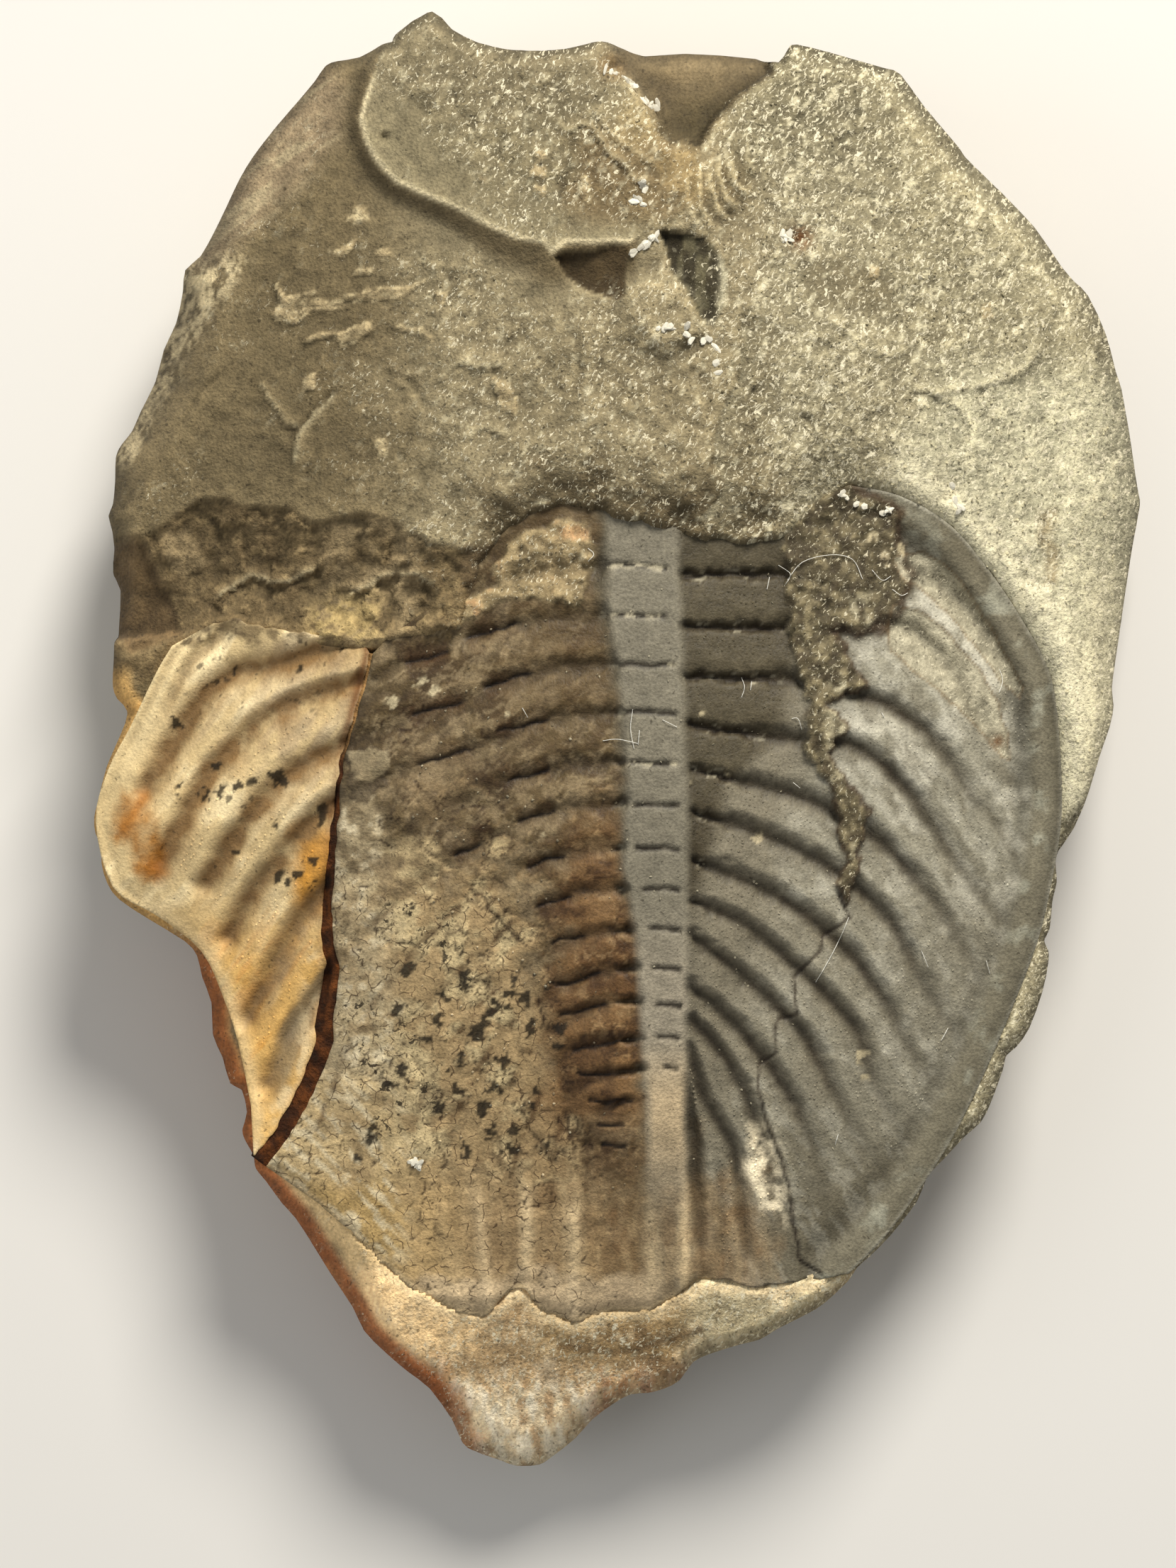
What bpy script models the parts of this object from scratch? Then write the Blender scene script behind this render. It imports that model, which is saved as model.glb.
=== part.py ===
# A trilobite's tail shield lying in its rock. The animal's head end was towards +Y, and +Z looks out of the
# bedding plane. The rock rests on a flat spot under its belly, at z = 0, with the origin below its middle.
import bmesh
import bpy
import numpy as np

MM = 0.001

# Driving dimensions, in millimetres
SHELL_THICKNESS = 1.5
CONTACT_GAP = 0.3  # left between solids that touch, so that they stay apart in 32-bit numbers
CREST_HEIGHT = 22.6  # the axis's highest point over the resting plane
CREST_PEAK_Y = 5.0
CREST_FALL = 0.0045  # how fast the crest drops towards the tail, per square millimetre
AXIS_RELIEF = 1.5  # of the axis over the side fields
AXIS_ROUNDNESS = 0.6  # 0.5 would make its cross-section an ellipse
AXIS_HALF_WIDTH = 11.0
AXIS_TAIL_HALF_WIDTH = 2.8
AXIS_TAIL_Y = -27.0
AXIS_TAPER = 0.27
AXIS_X, AXIS_LEAN = 0.2, 0.03  # the axis runs slightly across the rock
MARGIN_HEIGHT = 13.0
MARGIN_RISE, MARGIN_RISE_CURVE = 8.0, 1.5  # the front corner of the rim stands this much higher
MARGIN_RISE_FROM, MARGIN_RISE_SPAN = -5.0, 23.0
SIDE_ROUNDNESS = 2.0
RIB_RELIEF = 0.75
RIB_REACH, RIB_CURVE = 2.7, 1.3  # from a furrow to the next crest, and how the rib rises there
RIB_END_FROM, RIB_END_SPAN = 1.5, 4.0  # the ribs fade out this far in from the right rim
FURROW_WALL = 0.5
RING_SHARE = 0.8  # a ring's slit is this deep beside a rib's furrow
BORDER_WIDTH = 2.6  # the smooth rim outside the ribs
BORDER_GROOVE = 0.3
STRIP_RELIEF, STRIP_EDGE = 0.3, 0.6  # the flat strip along the crest, and the width of its edge
CLINGING_ROCK_HEIGHT, CLINGING_ROCK_EDGE = 0.6, 0.9

ROCK_CREST = 24.4
ROCK_FALL_RIGHT, ROCK_FALL_LEFT = 0.0105, 0.0085  # per square millimetre from the middle
ROCK_FALL_FRONT, ROCK_FRONT_FROM = 0.006, 25.0
ROCK_MIDDLE_X = 2.0
ROCK_TAIL_HEIGHT = 13.6
ROCK_TAIL_SLOPE = 0.33
FRONT_STEP_WIDTH = 1.2  # of the broken step down to the shell
RIM_STEP = 0.3  # the rock round the shell's rim lies this much lower
EDGE_WIDTH, EDGE_DROP, EDGE_CURVE = 1.5, 1.6, 1.6  # the rounding of the rock's upper edge
POCKET_CLEARANCE = 0.6  # under the shell, whose lower face is smoothed when faces are taken out
ABOVE_ALL, BELOW_ALL = 45.0, -3.0  # heights that no part of the fossil reaches
FAR_OUT = 60.0  # a distance past the rock's edge

CELL_SHELL, CELL_ROCK, CELL_POCKET = 0.45, 0.9, 2.7  # spacing of the points that the height functions move
# The share of its triangles that Decimate leaves each piece
SHELL_KEEP, FLANK_KEEP, VEIN_KEEP, ROCK_KEEP = 0.051, 0.051, 0.02, 0.088

# The rock's outline seen from above, clockwise from the peak at the top left
ROCK_OUTLINE = [
    (-12.8, 49.7), (-11.4, 48.4), (-9.5, 47.4), (-6.0, 46.8), (-1.4, 47.4), (2.0, 46.8), (9.2, 46.7),
    (10.6, 46.1), (11.9, 47.4), (14.5, 46.8), (19.0, 45.6), (23.5, 40.1), (28.3, 35.3), (32.0, 30.9),
    (34.1, 25.7), (35.9, 17.5), (36.0, 16.8), (35.0, 11.2), (34.1, 5.9), (33.6, 1.5), (31.8, -3.7),
    (29.8, -8.0), (29.6, -11.5), (29.0, -13.2), (29.3, -14.7), (28.0, -19.2), (26.4, -21.3), (25.0, -25.2),
    (22.2, -28.1), (20.3, -31.1), (16.2, -35.6), (12.8, -38.8), (9.6, -40.6), (5.0, -42.2), (3.0, -44.1),
    (-0.5, -45.2), (-3.1, -47.7), (-5.6, -49.6), (-7.1, -49.7), (-10.5, -48.4), (-11.6, -46.3),
    (-14.6, -42.9), (-17.6, -40.1), (-20.0, -36.2), (-23.2, -31.3), (-25.1, -28.2), (-25.9, -26.2),
    (-25.6, -25.0), (-26.8, -23.1), (-28.2, -18.8), (-29.1, -14.3), (-32.4, -11.7), (-35.0, -9.3),
    (-36.0, -4.8), (-35.1, -1.3), (-33.6, 2.4), (-34.6, 5.0), (-34.3, 10.8), (-35.1, 15.9), (-34.7, 20.0),
    (-33.0, 23.2), (-31.4, 27.4), (-29.8, 32.7), (-27.7, 35.2), (-25.0, 40.1), (-20.7, 45.2), (-17.7, 46.7),
    (-15.4, 47.6),
]

# Where the rock breaks off in front of the shell, from left to right
FRONT_EDGE = [
    (-28.2, 8.1), (-26.2, 8.7), (-22.8, 7.8), (-16.9, 7.1), (-13.2, 7.7), (-10.8, 8.1), (-9.6, 12.0),
    (-7.7, 14.5), (-4.0, 16.3), (-1.0, 15.6), (4.6, 14.3), (7.8, 13.6), (11.0, 14.0), (15.3, 17.6),
]
RIGHT_MARGIN = [
    (15.3, 17.6), (18.8, 16.9), (22.3, 14.9), (25.1, 11.7), (27.5, 8.2), (29.3, 4.7), (30.0, -0.3),
    (30.1, -5.0), (29.3, -9.9), (28.4, -13.5), (26.5, -18.4), (24.5, -23.0), (22.1, -27.6), (18.4, -33.0),
    (15.6, -35.9),
]
REAR_EDGE = [
    (13.7, -36.3), (9.3, -36.8), (5.8, -36.3), (2.1, -38.4), (-1.0, -38.5), (-3.2, -39.3), (-5.4, -38.5),
    (-6.8, -36.8), (-9.4, -38.9), (-11.9, -38.2), (-14.3, -36.8), (-17.0, -34.4), (-20.5, -31.2),
    (-23.6, -28.9),
]
FLANK_MARGIN = [
    (-25.4, -28.2), (-25.2, -24.5), (-26.0, -20.5), (-27.0, -17.3), (-28.6, -13.9), (-31.8, -11.3),
    (-34.2, -9.3), (-35.3, -5.0), (-34.4, -1.6), (-32.9, 1.2), (-31.1, 4.8), (-30.0, 6.6), (-28.2, 8.1),
]
# The iron-filled crack, with its half width at each point
VEIN_LINE = [
    (-16.8, 6.3), (-17.8, 2.4), (-18.7, -0.6), (-19.2, -4.4), (-19.7, -9.3), (-19.9, -13.2), (-19.5, -14.9),
    (-20.0, -17.8), (-20.2, -20.3), (-21.4, -23.3), (-23.1, -26.3), (-24.6, -28.3),
]
VEIN_HALF_WIDTHS = [0.2, 0.2, 0.25, 0.3, 0.4, 0.5, 0.6, 0.7, 0.65, 0.6, 0.6, 0.6]

# The furrows between the ribs, each from beside the crest out to the border
RIGHT_FURROWS = [
    [(4.0, 11.5), (11.0, 11.6), (18.6, 12.1), (21.8, 10.7), (24.7, 8.3), (26.6, 5.4), (28.0, 2.1)],
    [(4.0, 8.0), (11.5, 8.0), (18.6, 8.3), (21.8, 5.9), (24.2, 2.5), (27.1, -2.7)],
    [(4.1, 4.7), (12.0, 4.5), (15.8, 3.7), (20.5, 1.2), (23.9, -3.4), (26.8, -6.9)],
    [(4.6, 1.4), (12.2, 0.4), (16.1, -0.1), (19.9, -3.7), (23.5, -8.9), (26.5, -12.4)],
    [(4.8, -1.6), (11.5, -3.2), (16.6, -5.7), (20.4, -9.4), (23.0, -13.3), (24.7, -16.2)],
    [(4.8, -4.4), (9.9, -6.0), (15.2, -8.9), (18.6, -12.4), (20.9, -16.8), (23.6, -20.4)],
    [(4.9, -7.6), (10.7, -10.2), (14.7, -13.2), (18.1, -17.5), (19.6, -20.7), (21.5, -23.0)],
    [(4.9, -10.4), (8.6, -12.2), (13.2, -16.2), (16.1, -19.3), (17.2, -23.0), (19.5, -26.8)],
    [(4.7, -12.6), (8.0, -15.3), (12.0, -19.0), (14.3, -23.1), (16.6, -27.9)],
    [(4.8, -16.2), (7.9, -19.0), (11.2, -23.3), (12.9, -26.8), (13.8, -29.7)],
    [(4.8, -18.4), (7.5, -21.7), (9.3, -25.8), (11.4, -33.0)],
    [(4.5, -20.4), (5.7, -23.8), (7.9, -28.0), (8.5, -34.7)],
    [(4.4, -22.4), (4.9, -26.2), (5.8, -35.8)],
]
LEFT_FURROWS = [
    [(-1.0, 12.1), (-6.0, 11.6), (-9.5, 10.4)],
    [(-1.0, 8.8), (-6.8, 8.3), (-10.6, 7.2), (-16.6, 4.7), (-21.9, 3.0), (-25.3, 0.8), (-28.4, -2.4),
     (-31.1, -7.6)],
    [(-0.3, 5.5), (-5.9, 4.9), (-10.4, 3.1), (-17.6, 0.6), (-21.6, -1.5), (-24.5, -3.9), (-28.2, -9.3)],
    [(0.0, 2.3), (-4.8, 1.9), (-9.8, -0.1), (-18.0, -3.0), (-21.9, -6.2), (-25.3, -10.5), (-26.6, -13.0)],
    [(0.2, -1.1), (-4.6, -1.4), (-11.3, -4.2), (-18.5, -8.7), (-21.9, -12.0), (-25.4, -18.5)],
    [(0.4, -3.9), (-4.3, -4.2), (-9.2, -6.5), (-15.2, -10.4), (-21.7, -18.4), (-23.9, -23.0)],
    [(0.3, -6.8), (-3.6, -7.3), (-9.1, -9.5), (-14.0, -13.8), (-18.3, -20.0), (-20.5, -26.0)],
    [(0.4, -9.6), (-3.2, -10.0), (-7.6, -12.2), (-12.2, -16.6), (-15.8, -22.4), (-17.6, -28.0)],
    [(0.7, -12.3), (-2.3, -12.8), (-6.6, -14.8), (-11.0, -19.4), (-14.2, -25.6), (-15.2, -30.0)],
    [(1.2, -14.9), (-1.1, -15.2), (-5.8, -17.2), (-9.8, -22.0), (-12.0, -28.0), (-12.6, -33.0)],
    [(1.4, -17.1), (-0.7, -17.3), (-4.9, -19.2), (-8.0, -24.0), (-9.8, -30.0), (-10.2, -35.0)],
    [(1.5, -19.6), (-3.4, -20.6), (-6.0, -25.0), (-7.8, -31.0), (-8.0, -36.0)],
    [(1.6, -21.7), (-2.6, -22.8), (-4.4, -27.0), (-5.2, -36.5)],
    [(0.6, -23.9), (-1.6, -25.0), (-2.4, -29.0), (-2.7, -37.0)],
]
FLANK_FURROWS = [
    [(-17.5, 7.4), (-23.0, 5.6), (-26.2, 4.9), (-28.2, 3.4), (-29.9, 1.0), (-31.1, -0.9), (-32.2, -2.7)],
]
# The slits that mark the rings across the crest strip
RING_FURROWS = [
    [(-1.0, 12.1), (3.9, 12.1)], [(-0.4, 8.8), (4.0, 8.8)], [(0.0, 5.5), (4.1, 5.5)],
    [(0.0, 2.3), (4.4, 2.3)], [(0.4, -1.1), (4.6, -1.1)], [(0.4, -3.9), (4.6, -3.9)],
    [(0.4, -6.8), (4.6, -6.8)],
    [(0.6, -9.6), (4.6, -9.6)], [(0.9, -12.3), (4.6, -12.3)], [(1.2, -14.9), (4.5, -14.9)],
    [(1.4, -17.4), (4.5, -17.4)], [(1.5, -19.6), (4.5, -19.6)], [(1.6, -21.7), (4.4, -21.7)],
]

CREST_STRIP = [
    (-1.2, 16.5), (3.8, 15.0), (4.3, 3.0), (4.6, -8.0), (4.5, -18.0), (4.3, -25.0), (4.9, -38.0),
    (0.6, -39.0), (1.8, -24.0), (1.3, -15.0), (0.5, -9.0), (0.3, -2.0), (-0.2, 5.0),
]
# Rock that still clings in the furrow between the axis and the right side field
CLINGING_ROCK = [
    (10.9, 14.5), (11.4, 8.0), (12.3, 4.0), (12.4, 0.0), (15.0, -4.5), (14.5, -9.0), (15.4, -10.5),
    (16.9, -4.4), (14.0, 0.0), (16.2, 3.5), (14.0, 8.0), (14.2, 14.5),
]

# Breaks in the rock's upper face: an outline, and how far the rock inside it stands up or lies down
PALE_LOBE = [
    (-14.5, 51.0), (-16.6, 45.5), (-17.6, 42.3), (-16.4, 39.2), (-12.9, 36.8), (-8.9, 34.8), (-4.6, 32.9),
    (0.6, 33.6), (4.5, 36.0), (5.5, 39.9), (1.5, 43.0), (-1.0, 48.0), (-8.0, 51.0),
]
LOBE_FOOT = [
    (-20.5, 44.0), (-20.0, 38.0), (-15.5, 35.0), (-9.5, 32.5), (-3.9, 29.2), (1.0, 29.5), (3.4, 34.0),
    (-2.0, 36.0), (-12.0, 40.0), (-16.0, 45.0),
]
HOLLOW = [(2.0, 50.0), (2.6, 44.0), (5.5, 40.0), (7.8, 43.2), (10.5, 45.2), (11.0, 50.0)]
RECESS = [
    (-38.0, 14.2), (-31.6, 14.6), (-28.7, 16.7), (-21.9, 15.9), (-16.9, 15.7), (-14.4, 14.2), (-9.8, 13.0),
    (-9.8, 7.0), (-17.0, 6.0), (-28.0, 7.5), (-33.0, 4.0), (-38.0, 4.0),
]
FLUTED_BREAK = [
    (4.6, 14.4), (6.6, 16.7), (6.3, 20.0), (8.0, 24.8), (8.0, 29.5), (-12.0, 29.0), (-12.0, 16.0),
]
SMALL_DOME = [(0.2, 31.0), (3.0, 32.0), (5.4, 30.0), (5.6, 27.5), (2.8, 26.4), (0.2, 28.0)]
LEFT_FLAKES = [(-26.0, 31.8), (-22.6, 31.4), (-14.6, 31.6), (-17.0, 28.6), (-21.5, 29.0), (-24.5, 29.6)]
ROCK_BREAKS = [  # outline, height, width of the slope at its edge
    (PALE_LOBE, 1.3, 0.9), (LOBE_FOOT, -0.9, 1.6), (HOLLOW, -3.4, 2.2), (RECESS, -2.7, 1.2),
    (FLUTED_BREAK, 0.5, 0.7), (SMALL_DOME, 0.7, 1.4), (LEFT_FLAKES, 0.5, 0.6),
]
# Where the rock's upper edge is broken off in a long slope: place, how far round it reaches, width, drop
EDGE_SLOPES = [
    ((35.0, 14.0), 13.0, 5.0, 6.0), ((-33.0, 27.0), 10.0, 4.0, 5.5), ((-28.0, -18.5), 6.0, 2.5, 5.0),
    ((-20.5, -35.5), 5.5, 3.0, 4.5), ((24.0, 41.0), 8.0, 1.5, 2.0), ((-8.0, -48.0), 7.0, 1.5, 0.8),
]
# The rock's sides from the resting spot up: height, reach, and the share of the outline's own shape.
# The belly below is a worn oval, this wide and long.
SIDE_PROFILE = [
    (0.0, 0.62, 0.2), (0.9, 0.78, 0.35), (2.2, 0.90, 0.6), (3.8, 0.975, 0.9), (5.2, 1.0, 1.0),
    (13.0, 0.998, 1.0), (40.0, 0.985, 1.0),
]
BELLY = (68.0, 88.0)


def distance_to(x, y, line):
    """Distance to a line of points, and on which side of it each place lies: positive on its right."""
    nearest = np.full(x.shape, 1e9)
    side = np.ones(x.shape)
    for (ax, ay), (bx, by) in zip(line, line[1:]):
        dx, dy = bx - ax, by - ay
        along = np.clip(((x - ax) * dx + (y - ay) * dy) / (dx * dx + dy * dy), 0, 1)
        gap = np.hypot(x - ax - along * dx, y - ay - along * dy)
        closer = gap < nearest - 1e-9
        nearest = np.where(closer, gap, nearest)
        side = np.where(closer, np.sign((y - ay) * -dx + (x - ax) * dy), side)
    return nearest, side


def depth_inside(x, y, outline):
    """Distance in from a closed outline, negative outside it."""
    closed = outline + outline[:1]
    inside = np.zeros(x.shape, bool)
    for (ax, ay), (bx, by) in zip(closed, closed[1:]):
        if ay != by:
            crosses = (ay > y) != (by > y)
            inside ^= crosses & (x < (bx - ax) * (y - ay) / (by - ay) + ax)
    return np.where(inside, 1, -1) * distance_to(x, y, closed)[0]


def ease(value):
    value = np.clip(value, 0, 1)
    return value * value * (3 - 2 * value)


def shell_outline():
    return FRONT_EDGE + RIGHT_MARGIN[1:] + REAR_EDGE + FLANK_MARGIN[:-1]


def vault(x, y):
    """The shell's smooth upper face without its ribs."""
    crest = CREST_HEIGHT - CREST_FALL * np.clip(CREST_PEAK_Y - y, 0, None) ** 2
    half = AXIS_TAIL_HALF_WIDTH + AXIS_TAPER * (y - AXIS_TAIL_Y)
    half = np.clip(half, AXIS_TAIL_HALF_WIDTH, AXIS_HALF_WIDTH)
    across = np.abs(x - AXIS_X + AXIS_LEAN * y)
    lobe = np.clip(1 - (across / half) ** 2, 0, 1) ** AXIS_ROUNDNESS
    beyond = np.clip(across - half, 0, None)
    margin = RIGHT_MARGIN + REAR_EDGE + FLANK_MARGIN
    under_rock = [(FLANK_MARGIN[-1][0], FAR_OUT), (RIGHT_MARGIN[0][0], FAR_OUT)]  # it goes on under the rock
    rim = np.where(depth_inside(x, y, under_rock + margin) > 0, distance_to(x, y, margin)[0], 0)
    share = beyond / (beyond + rim + 1e-6)
    rise = MARGIN_RISE * np.clip((y - MARGIN_RISE_FROM) / MARGIN_RISE_SPAN, 0, 1) ** MARGIN_RISE_CURVE
    foot = crest - AXIS_RELIEF
    return foot + AXIS_RELIEF * lobe - np.clip(foot - MARGIN_HEIGHT - rise, 0, None) * share**SIDE_ROUNDNESS


def ribs(x, y):
    """How far the furrows lie below the vault: a steep wall before each one, a long slope after it."""
    depth = np.zeros(x.shape)
    for line in RIGHT_FURROWS + LEFT_FURROWS + FLANK_FURROWS:
        gap, side = distance_to(x, y, line)
        behind = side if line[-1][0] > line[0][0] else -side  # positive towards the tail
        wall = np.exp(-((gap / FURROW_WALL) ** 2))
        slope = np.clip(1 - gap / RIB_REACH, 0, 1) ** RIB_CURVE
        depth = np.maximum(depth, np.where(behind > 0, slope, wall))
    for line in RING_FURROWS:
        depth = np.maximum(depth, RING_SHARE * np.exp(-((distance_to(x, y, line)[0] / FURROW_WALL) ** 2)))
    rim = distance_to(x, y, RIGHT_MARGIN)[0]
    groove = BORDER_GROOVE * np.exp(-((rim - BORDER_WIDTH) ** 2))
    return RIB_RELIEF * depth * ease((rim - RIB_END_FROM) / RIB_END_SPAN) + groove


def shell_top(x, y):
    strip = STRIP_RELIEF * ease(depth_inside(x, y, CREST_STRIP) / STRIP_EDGE + 0.5)
    rock = ease(depth_inside(x, y, CLINGING_ROCK) / CLINGING_ROCK_EDGE + 0.5)
    return vault(x, y) + strip - ribs(x, y) * (1 - rock) + CLINGING_ROCK_HEIGHT * rock


def shell_underside(x, y):
    return vault(x, y) - SHELL_THICKNESS


def rock_top(x, y):
    """The rock's upper face: a low dome with its breaks in front of the shell, and a slope behind it."""
    fall = np.where(x > ROCK_MIDDLE_X, ROCK_FALL_RIGHT, ROCK_FALL_LEFT)
    front = ROCK_CREST - fall * (x - ROCK_MIDDLE_X) ** 2
    front -= ROCK_FALL_FRONT * np.clip(y - ROCK_FRONT_FROM, 0, None) ** 2
    for outline, height, width in ROCK_BREAKS:
        front += height * ease(depth_inside(x, y, outline) / width + 0.5)
    gap, side = distance_to(x, y, [(-FAR_OUT, 4.0)] + FRONT_EDGE + RIGHT_MARGIN[1:8] + [(FAR_OUT, -9.0)])
    behind = vault(x, y) - RIM_STEP
    tail = ROCK_TAIL_HEIGHT - ROCK_TAIL_SLOPE * np.clip(REAR_EDGE[0][1] - y, 0, None)
    behind = np.where(y < REAR_EDGE[0][1], np.minimum(behind, tail), behind)
    height = behind + (front - behind) * ease(0.5 - gap * side / FRONT_STEP_WIDTH)
    inside = np.clip(depth_inside(x, y, ROCK_OUTLINE), 0, None)
    width, drop = np.full(x.shape, EDGE_WIDTH), np.full(x.shape, EDGE_DROP)
    for (px, py), reach, more_width, more_drop in EDGE_SLOPES:
        near = np.exp(-((x - px) ** 2 + (y - py) ** 2) / reach**2)
        width, drop = width + more_width * near, drop + more_drop * near
    return height - drop * np.clip(1 - inside / width, 0, 1) ** EDGE_CURVE


def pocket_floor(x, y):
    return shell_underside(x, y) - POCKET_CLEARANCE


def above_all(x, y):
    return np.full(x.shape, ABOVE_ALL)


def below_all(x, y):
    return np.full(x.shape, BELOW_ALL)


def moved_sideways(line, distances):
    """The line's points moved to its left by these distances."""
    points = np.array(line)
    ahead = np.gradient(points, axis=0)
    ahead /= np.linalg.norm(ahead, axis=1)[:, None]
    left = np.stack([-ahead[:, 1], ahead[:, 0]], 1)
    return [tuple(p) for p in points + np.array(distances)[:, None] * left]


def grown(outline, distance):
    """A clockwise closed outline moved outwards."""
    return moved_sideways(outline[-1:] + outline + outline[:1], [distance] * (len(outline) + 2))[1:-1]


def material(name, color, roughness):
    made = bpy.data.materials.new(name)
    made.use_nodes = True
    shader = made.node_tree.nodes["Principled BSDF"]
    shader.inputs["Base Color"].default_value = (*color, 1)
    shader.inputs["Roughness"].default_value = roughness
    shader.inputs["Metallic"].default_value = 0
    return made


def add_object(name, mesh, collection):
    made = bpy.data.objects.new(name, mesh)
    collection.objects.link(made)
    return made


def as_cutter(made):
    made.hide_render = True
    made.display_type = "WIRE"
    return made


def prism(name, outline, collection):
    """A tall closed solid with this outline, from a filled and extruded curve."""
    curve = bpy.data.curves.new(name, "CURVE")
    curve.dimensions = "2D"
    curve.fill_mode = "BOTH"
    curve.extrude = ABOVE_ALL / 2 * MM
    spline = curve.splines.new("POLY")
    spline.points.add(len(outline) - 1)
    for point, (x, y) in zip(spline.points, outline):
        point.co = (x * MM, y * MM, 0, 1)
    spline.use_cyclic_u = True
    guide = add_object(name + "_curve", curve, collection)
    guide.location.z = ABOVE_ALL / 2 * MM
    bpy.context.view_layer.update()
    graph = bpy.context.evaluated_depsgraph_get()
    mesh = bpy.data.meshes.new_from_object(guide.evaluated_get(graph))
    mesh.transform(guide.matrix_world)
    bpy.data.objects.remove(guide)
    shape = bmesh.new()
    shape.from_mesh(mesh)
    bmesh.ops.remove_doubles(shape, verts=shape.verts, dist=1e-7)
    bmesh.ops.recalc_face_normals(shape, faces=shape.faces)
    shape.to_mesh(mesh)
    shape.free()
    return as_cutter(add_object(name, mesh, collection))


def slab(name, box, cell, top, underside, collection):
    """A closed slab over a rectangle: a grid with a thickness, then moved to two height functions."""
    (x0, y0), (x1, y1) = box
    shape = bmesh.new()
    bmesh.ops.create_grid(
        shape, x_segments=round((x1 - x0) / cell), y_segments=round((y1 - y0) / cell), size=0.5
    )
    raised = bmesh.ops.extrude_face_region(shape, geom=shape.faces[:])
    upper = {part for part in raised["geom"] if isinstance(part, bmesh.types.BMVert)}
    lower = [vertex for vertex in shape.verts if vertex not in upper]
    for vertices, height in ((list(upper), top), (lower, underside)):
        x = np.array([x0 + (v.co.x + 0.5) * (x1 - x0) for v in vertices])
        y = np.array([y0 + (v.co.y + 0.5) * (y1 - y0) for v in vertices])
        z = height(x, y)
        for vertex, place in zip(vertices, zip(x, y, z)):
            vertex.co = [value * MM for value in place]
    bmesh.ops.recalc_face_normals(shape, faces=shape.faces)
    mesh = bpy.data.meshes.new(name)
    shape.to_mesh(mesh)
    shape.free()
    return add_object(name, mesh, collection)


def keep_share(made, share):
    thin = made.modifiers.new("Fewer faces", "DECIMATE")
    thin.ratio = share
    return made


def cut(made, operation, other):
    step = made.modifiers.new(f"{operation.title()} {other.name}", "BOOLEAN")
    step.operation = operation
    step.object = other
    return made


def rock_body(collection):
    """The rock's sides: its outline stacked in rings from the resting spot up past its upper face."""
    shape = bmesh.new()
    bmesh.ops.create_circle(shape, cap_ends=True, segments=len(ROCK_OUTLINE), radius=1)
    shape.faces.ensure_lookup_table()
    resting_spot = face = shape.faces[0]
    for level, (height, reach, own_shape) in enumerate(SIDE_PROFILE):
        if level:
            raised = bmesh.ops.extrude_face_region(shape, geom=[face])["geom"]
            if face is not resting_spot:
                shape.faces.remove(face)
            face = next(part for part in raised if isinstance(part, bmesh.types.BMFace))
        for vertex, (x, y) in zip(face.verts, ROCK_OUTLINE):
            oval = 1 / np.hypot(2 * x / BELLY[0], 2 * y / BELLY[1])
            spread = reach * (own_shape + (1 - own_shape) * oval)
            vertex.co = (x * spread * MM, y * spread * MM, height * MM)
    bmesh.ops.recalc_face_normals(shape, faces=shape.faces)
    mesh = bpy.data.meshes.new("rock_body")
    shape.to_mesh(mesh)
    shape.free()
    return as_cutter(add_object("rock_body", mesh, collection))


def clear_scene():
    for old in list(bpy.data.objects):
        bpy.data.objects.remove(old)


def add_collection(name):
    made = bpy.data.collections.new(name)
    bpy.context.scene.collection.children.link(made)
    return made


def shell_piece(name, outline, share, top, skin, parts, cutters):
    """One piece of the shell: a thin slab under the ribbed face, trimmed to its outline."""
    low = tuple(min(p[i] for p in outline) - 1 for i in (0, 1))
    high = tuple(max(p[i] for p in outline) + 1 for i in (0, 1))
    made = slab(name, (low, high), CELL_SHELL, top, shell_underside, parts)
    made.data.materials.append(skin)
    keep_share(made, share)
    return cut(made, "INTERSECT", prism(name + "_outline", outline, cutters))


def main():
    clear_scene()
    parts = add_collection("fossil_trilobite")
    cutters = add_collection("cutters")
    apart = [width + CONTACT_GAP for width in VEIN_HALF_WIDTHS]
    east, west = moved_sideways(VEIN_LINE, apart), moved_sideways(VEIN_LINE, [-gap for gap in apart])
    main_outline = FRONT_EDGE[4:] + RIGHT_MARGIN[1:] + REAR_EDGE[:-1] + east[::-1]
    flank_outline = FRONT_EDGE[:3] + [(-17.9, 7.0)] + west + FLANK_MARGIN[1:-1]
    vein_outline = moved_sideways(VEIN_LINE, VEIN_HALF_WIDTHS)
    vein_outline += moved_sideways(VEIN_LINE, [-width for width in VEIN_HALF_WIDTHS])[::-1]

    grey_shell = material("grey shell", (0.17, 0.15, 0.125), 0.45)
    cream_shell = material("cream shell", (0.55, 0.43, 0.2), 0.5)
    iron_vein = material("iron vein", (0.09, 0.035, 0.012), 0.6)
    limestone = material("limestone", (0.25, 0.21, 0.14), 0.7)
    shell_piece("tail_shield", main_outline, SHELL_KEEP, shell_top, grey_shell, parts, cutters)
    shell_piece("left_flank", flank_outline, FLANK_KEEP, shell_top, cream_shell, parts, cutters)
    shell_piece("vein", vein_outline, VEIN_KEEP, vault, iron_vein, parts, cutters)

    rock = slab("matrix", ((-38, -52), (38, 52)), CELL_ROCK, rock_top, below_all, parts)
    rock.data.materials.append(limestone)
    keep_share(rock, ROCK_KEEP)
    cut(rock, "INTERSECT", rock_body(cutters))
    pocket = as_cutter(slab("pocket", ((-38, -42), (33, 20)), CELL_POCKET, above_all, pocket_floor, cutters))
    cut(pocket, "INTERSECT", prism("pocket_outline", grown(shell_outline(), CONTACT_GAP), cutters))
    cut(rock, "DIFFERENCE", pocket)


main()
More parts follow.
